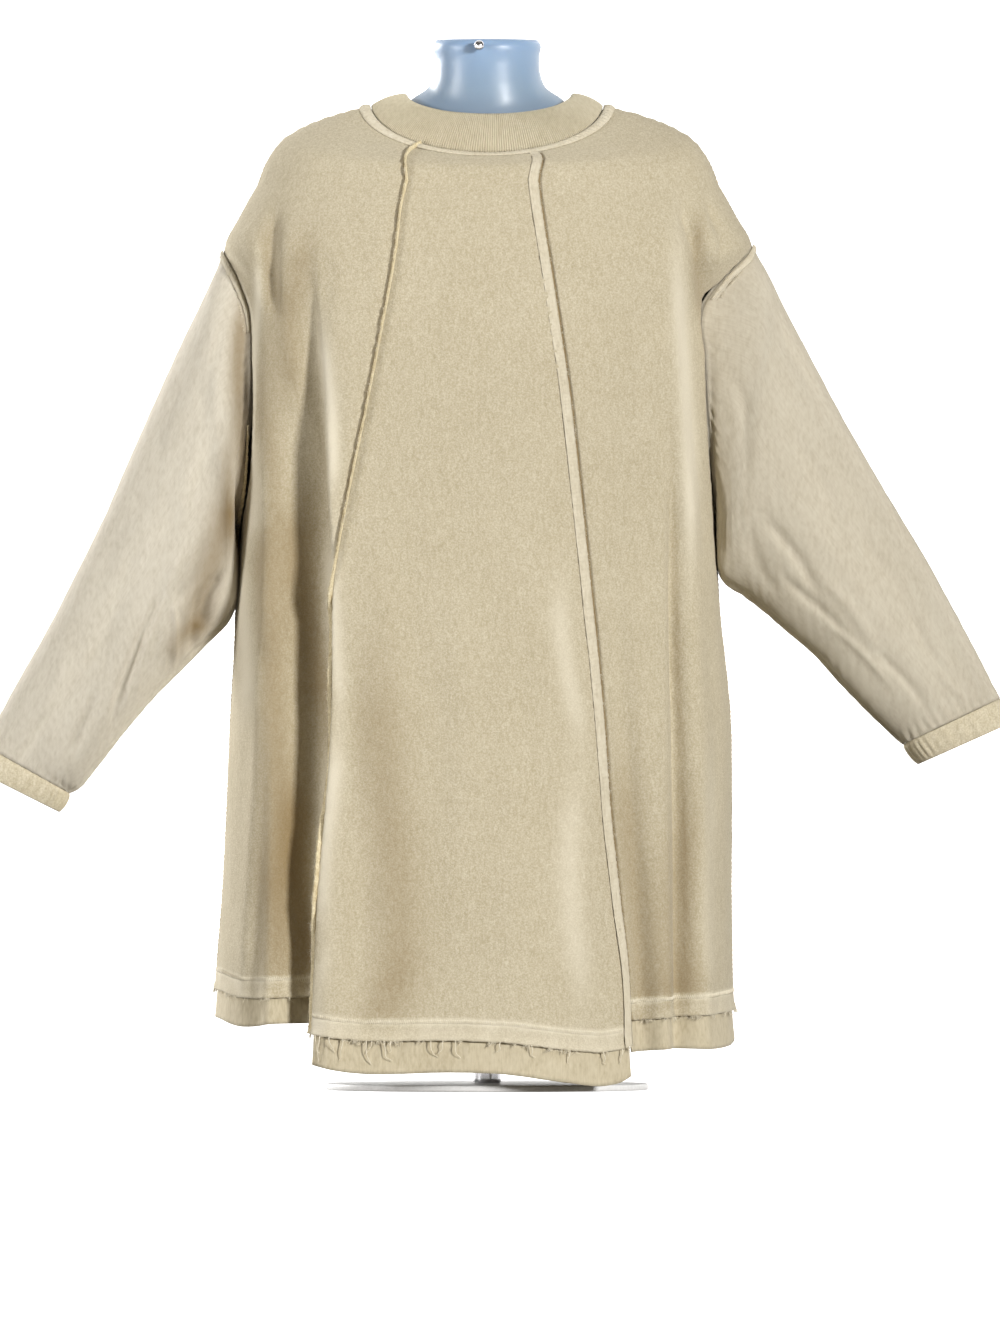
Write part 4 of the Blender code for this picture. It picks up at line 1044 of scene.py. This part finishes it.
def flatStrip(frameLine, start, wide, thick, looks, seed):
    # A closed flat strip: domed top with two stitch grooves, rucks along it, and a wandering raw edge.
    at = frameLine["at"][:, None]
    top, under = np.linspace(0, 1, 11)[None], np.linspace(1, 0, 5)[None, 1:-1]
    ruck = looks["ruck"] * np.sin(at * tau / looks["pitch"] + 2 * top + 2 * softField(at, 0, 25, seed))
    grooves = looks["groove"] * (bell(top - 0.22, 0.07) + bell(top - 0.76, 0.07))
    dome = np.sin(pi * np.clip(top, 0.04, 0.96)) ** 0.4 * (1 - looks.get("thin", 0) * (1 - top))
    slim = 1 - looks.get("slim", 0) * clipped(2 * np.abs(at / at[-1] - 0.5) - 0.35)
    lift = (thick * dome - grooves + ruck * np.sin(pi * top)) * slim
    edge = looks["rag"] * (softField(at, 0, 5, seed + 1) + 0.6 * softField(at, 0, 1.8, seed + 2))
    share = np.concatenate((top, under), 1)
    across = start + wide * share * slim + edge * share ** 3 + looks["wave"] * softField(at, 0, 60, seed + 3)
    lift = looks["base"] + np.concatenate((lift, 0 * across[:, 11:]), 1)
    return sweptStrip(frameLine, across, lift)


standingSection = np.array((
    (-1.25, 0.1), (-1.45, 1.4), (-1.35, 2.7), (-1.1, 3.9), (-0.65, 4.5), (-0.15, 3.7),
    (0.15, 3.7), (0.65, 4.4), (1.1, 3.8), (1.35, 2.6), (1.45, 1.3), (1.25, 0.1),
))


def standingSeam(frameLine, looks, seed):
    # Two raw layers that stand up along the seam, side by side, and sway.
    at, (place, rise) = frameLine["at"][:, None], standingSection.T[:, None]
    share = clipped(rise / 4.5)
    rag = looks["rag"] * (softField(at, place * 3, 4, seed) + 0.7 * softField(at, 0, 1.7, seed + 1))
    tall = looks["tall"] / 4.5 * (1 + 0.12 * softField(at, 0, 30, seed + 2))
    sway = looks["sway"] * (softField(at, 0, 22, seed + 3) + 0.5 * softField(at, 0, 9, seed + 4))
    across = place * looks["wide"] + sway * share ** 1.5 + looks["lean"] * share
    return sweptStrip(frameLine, across, rise * tall + rag * share ** 2)


seamLooks = {
    "armholeReach": {"left": 1.15, "right": 0.95},
    "tape": {"base": 0.3, "ruck": 0.2, "pitch": 3.6, "groove": 0.2, "rag": 0.7, "wave": 0.35, "thin": 0.6},
    "allowance": {"base": 0.05, "ruck": 0.25, "pitch": 4.4, "groove": 0.2, "rag": 0.7, "wave": 0.4},
    "standing": {"wide": 0.62, "tall": 3.9, "sway": 0.4, "rag": 0.8, "lean": -0.8},
    "poking": {"base": 0.6, "ruck": 0.4, "pitch": 4.6, "groove": 0.1, "rag": 0.7, "wave": 0.9, "slim": 1.0},
    "armhole": {"base": 0.3, "ruck": 0.35, "pitch": 5, "groove": 0.35, "rag": 0.5, "wave": 0.3, "slim": 0.9},
}


def sewnPiece(name, grid, finish, *nodes):
    gridMesh(name, grid, finish, nodes, closed=True, caps=True)


leftLine, rightLine = panelLine("back_centre", 0, 1.0), panelLine("back_right", 0, 1.0)
sewnPiece("seam_standing_left", standingSeam(leftLine, seamLooks["standing"], 61), "raw", "seam_back_left")
grid = flatStrip(panelLine("back_centre", -1, 1.0), 9.2, -8.8, 0.9, seamLooks["tape"], 71)
sewnPiece("seam_tape_right", grid, "flatTape", "seam_back_right")

for side, column in (("right", 0), ("left", -1)):
    low = panelLine("front", column, 1.2, high=cut["armhole"][side][1] - 8)
    grid = flatStrip(low, 0.4, 8.0, 0.8, seamLooks["allowance"], 81 + column)
    sewnPiece("seam_side_" + side, grid, "raw", "side_seam_" + side)
    high = panelLine("front", column, 1.2, low=cut["armhole"][side][0] + 4)
    grid = flatStrip(high, 0.4, 8.0, 0.6, seamLooks["allowance"], 91 + column)
    sewnPiece("seam_shoulder_" + side, grid, "raw", "shoulder_seam_" + side)


def armholeLine(side):
    # The sleeve's first row, from the front round the top to the back, with the sleeve's own directions.
    grid, turns, reach = sleeves[side]["grid"], sleeves[side]["turns"], seamLooks["armholeReach"][side]
    order = np.concatenate((np.flatnonzero(turns > tau - reach), np.flatnonzero(turns < reach)))
    start = sleeveLooks["tucked"]
    return evenLine(grid[start, order], (grid[start + 6] - grid[start])[order],
                    sleeves[side]["normal"][start + 2, order], 1.0)


for side in ("left", "right"):
    grid = flatStrip(armholeLine(side), 0.7, 6.4, 1.9, seamLooks["armhole"], 101)
    sewnPiece("seam_armhole_" + side, grid, "tape", "armhole_seam_" + side)


def leftEdgeLine(low, high):
    # The left panel's silhouette as a line, turned half towards the back.
    grid = panels["back_left"]["grid"][:, :40]
    rows = np.flatnonzero((grid[:, 0, 2] > low) & (grid[:, 0, 2] < high))
    facing = np.ones((len(rows), 1))
    at = grid[rows, np.argmin(grid[rows, :, 0], axis=1)]
    return evenLine(at, facing * (0.8, -0.6, 0), facing * (-0.6, -0.8, 0), 1.0)


# On the left the allowance pokes out in a thin line beside the body's edge, above the underarm.
grid = flatStrip(leftEdgeLine(446, 602), -5.4, 4.2, 1.6, seamLooks["poking"], 121)
sewnPiece("seam_edge_left", grid, "raw")
print("seams made")


def lineFrays(frameLine, edge, count, length, seed, lift=0.6, droop=0.2, way=1.0):
    # Short crooked fibres in clumps along a raw edge: each starts at the edge and wanders off it.
    rng = np.random.default_rng(seed)
    clumps = rng.integers(2, len(frameLine["at"]) - 2, max(count // 7, 1))
    pick = rng.choice(clumps, count) + np.round(rng.normal(0, 2.2, count)).astype(int)
    pick = np.clip(pick, 2, len(frameLine["at"]) - 3)
    line, side, up = (frameLine[key][pick] for key in ("line", "side", "up"))
    along = np.cross(side, up)
    start = line + side * (edge + rng.uniform(-0.5, 0.3, (count, 1)))
    start += up * (lift + rng.uniform(0, 0.8, (count, 1)))
    aim = side * way + along * rng.normal(0, 0.7, (count, 1)) + up * rng.uniform(-0.1, 0.7, (count, 1))
    aim = oneLong(aim - (0, 0, droop))
    reach = length * rng.uniform(0.35, 1.25, (count, 1))
    bend = (along * rng.normal(0, 0.5, (count, 1)) + up * rng.normal(0, 0.35, (count, 1))) * reach
    s = np.linspace(0, 1, 5)[None, :, None]
    return start[:, None] + (aim * reach)[:, None] * s + bend[:, None] * (s ** 2 - 0.3 * s ** 3)


def hemFrays(name, count, length, seed):
    # The same along a panel's raw hem edge, hanging down.
    grid, normal = panels[name]["grid"], panels[name]["normal"]
    line = evenLine(grid[-1], grid[-1] - grid[-3], normal[-2], 1.0)
    return lineFrays(line, 0.0, count, length, seed, lift=-0.6, droop=0.9)


seamFrays = (lineFrays(leftLine, -0.6, 300, 2.6, 201, lift=4.0, way=-0.5),
             lineFrays(leftLine, 0.6, 200, 2.2, 202, lift=4.0, way=0.5),
             lineFrays(rightLine, -0.2, 420, 2.4, 203), lineFrays(rightLine, -9.2, 60, 1.6, 204, way=-1.0))
tubeMesh("fray_back_seams", np.concatenate(seamFrays), 0.11, 4, 0.45)
armholeFrays = (lineFrays(armholeLine("left"), 7.2, 200, 2.4, 205),
                lineFrays(armholeLine("right"), 7.2, 200, 2.4, 206))
tubeMesh("fray_armholes", np.concatenate(armholeFrays), 0.11, 4, 0.45)
hems = (("back_left", 90, 211), ("back_centre", 170, 212), ("back_right", 130, 213), ("front", 260, 214))
hemFibres = [hemFrays(name, count, 4.2, seed) for name, count, seed in hems]
tubeMesh("fray_hems", np.concatenate(hemFibres), 0.24, 4, 0.4)

# Long loose threads on the centre panel's raw edge: place across, length, lean.
longThreads = (
    (-153, 19, 0.5), (-149, 26, -0.3), (-141, 15, 0.8), (-129, 22, -0.5), (-108, 24, 0.3), (-103, 14, -0.9),
    (-92, 20, 0.7), (-86, 12, -0.2), (-50, 17, 0.6), (-39, 13, -0.6), (-28, 18, 0.4), (12, 10, -0.5),
    (40, 12, 0.5), (74, 14, -0.4), (104, 12, 0.5), (121, 15, -0.6),
)


def longThreadPaths():
    # Each hangs from the raw edge in a loose wave and curls at its tip.
    rng = np.random.default_rng(7)
    edge, normal = panels["back_centre"]["grid"][-1], panels["back_centre"]["normal"][-2]
    s = np.linspace(0, 1, 22)
    paths = []
    for place, length, lean in longThreads:
        start, out = (readAt(place, edge[:, 0], values) for values in (edge, normal))
        wave = np.sin(s * rng.uniform(5, 9) + rng.uniform(0, 6)) * 1.6 * s
        x = lean * length * 0.35 * s ** 1.5 + wave + 8.0 * lean * clipped(s - 0.75)
        z = -length * (s - 0.44 * clipped(s - 0.7))
        away = (0.9 + np.sin(s * rng.uniform(3, 6)))[:, None]
        paths.append(start + out * away + xyz(x, 0, z))
    return np.stack(paths)


tubeMesh("loose_threads", longThreadPaths(), 0.5, 6, 0.55)
print("frays made")

stitchLooks = {"radius": 0.42, "apart": 3.2, "zigzag": 2.0, "overlap": 1.05, "lift": 0.05, "arch": 0.2}


def coverStitch(name):
    # The cover stitch's looper threads: a close zigzag between its two rows, on the hem's stitch line.
    grid, normal, looks = panels[name]["grid"], panels[name]["normal"], stitchLooks
    row = len(grid) - 1 - rowCounts["hem"]
    frameLine = evenLine(grid[row], grid[row - 2] - grid[row], normal[row], 1.0)
    count = int(frameLine["at"][-1] / looks["zigzag"]) - 1
    s = np.linspace(0, 1, 7)
    at = (np.arange(count)[:, None] + s * looks["overlap"]) * looks["zigzag"]
    line, side, up = (readAt(at, frameLine["at"], frameLine[key]) for key in ("line", "side", "up"))
    place = looks["apart"] / 2 * looks["overlap"] * np.cos(tau * s)[:, None]
    return line + side * place + up * (looks["lift"] + looks["arch"] * np.sin(tau * s)[:, None])


for name in panelNames:
    tubeMesh("cover_stitch_" + name, coverStitch(name), stitchLooks["radius"], 5)
print("stitches made")


def stageSweep():
    # A pale floor that curves up into a wall behind the part.
    rows = [(-40, 0), (1.6, 0)]
    rows += [(1.6 + math.sin(t), 1 - math.cos(t)) for t in np.linspace(0.1, pi / 2, 16)] + [(2.6, 5)]
    points = [(x, y, z) for y, z in rows for x in (-9, 9)]
    mesh = bpy.data.meshes.new("sweep")
    mesh.from_pydata(points, [], [(i, i + 1, i + 3, i + 2) for i in range(0, len(points) - 2, 2)])
    mesh.shade_smooth()
    material, tree, shader = newMaterial("paleFloor", {
        "Base Color": (0.9, 0.9, 0.9), "Roughness": 0.9, "Specular IOR Level": 0.5,
        "Emission Color": white, "Emission Strength": 0.9})
    # Seen from behind the wall is clear, so that the front can be looked at through it.
    behind, clear = addNode(tree, "NewGeometry")["Backfacing"], addNode(tree, "BsdfTransparent")[0]
    seen = addNode(tree, "MixShader", {0: behind, 1: tree.nodes["Principled BSDF"].outputs[0], 2: clear})[0]
    feed(tree, tree.nodes["Material Output"].inputs["Surface"], seen)
    mesh.materials.append(material)
    withValues(inScene("sweep", mesh), visible_diffuse=False, visible_shadow=False)


def areaLight(name, place, aim, size, power, colour=(1, 0.99, 0.97)):
    light = withValues(bpy.data.lights.new(name, "AREA"), size=size, energy=power, color=colour)
    x, y, z = np.array(aim, float) - place
    turn = (math.atan2(z, math.hypot(x, y)) + pi / 2, 0, math.atan2(y, x) - pi / 2)
    withValues(inScene(name, light), location=place, rotation_euler=turn)


stageSweep()
areaLight("keyLight", (7.8, -11.1, 3.6), (0, 0, 0.4), 1.8, 2080)
areaLight("fillLight", (-4.3, -1.8, 1.3), (-0.3, 0, 0.4), 1.3, 138, (1, 0.99, 0.98))
areaLight("frontLight", (-5.5, 6.5, 2.2), (0, 0, 0.4), 2.0, 760)
areaLight("topLight", (0.0, 0.2, 3.2), (0, 0, 0.4), 2.0, 8, white)

world = bpy.data.worlds.new("studio")
bpy.context.scene.world = world
world.use_nodes = True
tree = world.node_tree
glow = tree.nodes["Background"]
feed(tree, glow.inputs["Color"], (1, 0.88, 0.68))
feed(tree, glow.inputs["Strength"], 0.12)
# Straight into the camera the surround is plain white.
plain, ray = addNode(tree, "Background", {"Color": white})[0], addNode(tree, "LightPath")["Is Camera Ray"]
seen = addNode(tree, "MixShader", {0: ray, 1: glow.outputs[0], 2: plain})[0]
feed(tree, tree.nodes["World Output"].inputs["Surface"], seen)

camera = withValues(bpy.data.cameras.new("backView"), sensor_fit="VERTICAL", sensor_height=24, lens=500,
                    clip_end=200)
bpy.context.scene.camera = inScene("backView", camera)
withValues(bpy.context.scene.camera, location=(0.0117, -25, 0.381), rotation_euler=(pi / 2, 0, 0))
bpy.context.scene.view_settings.view_transform = "Standard"
print("stage, lights and camera set")
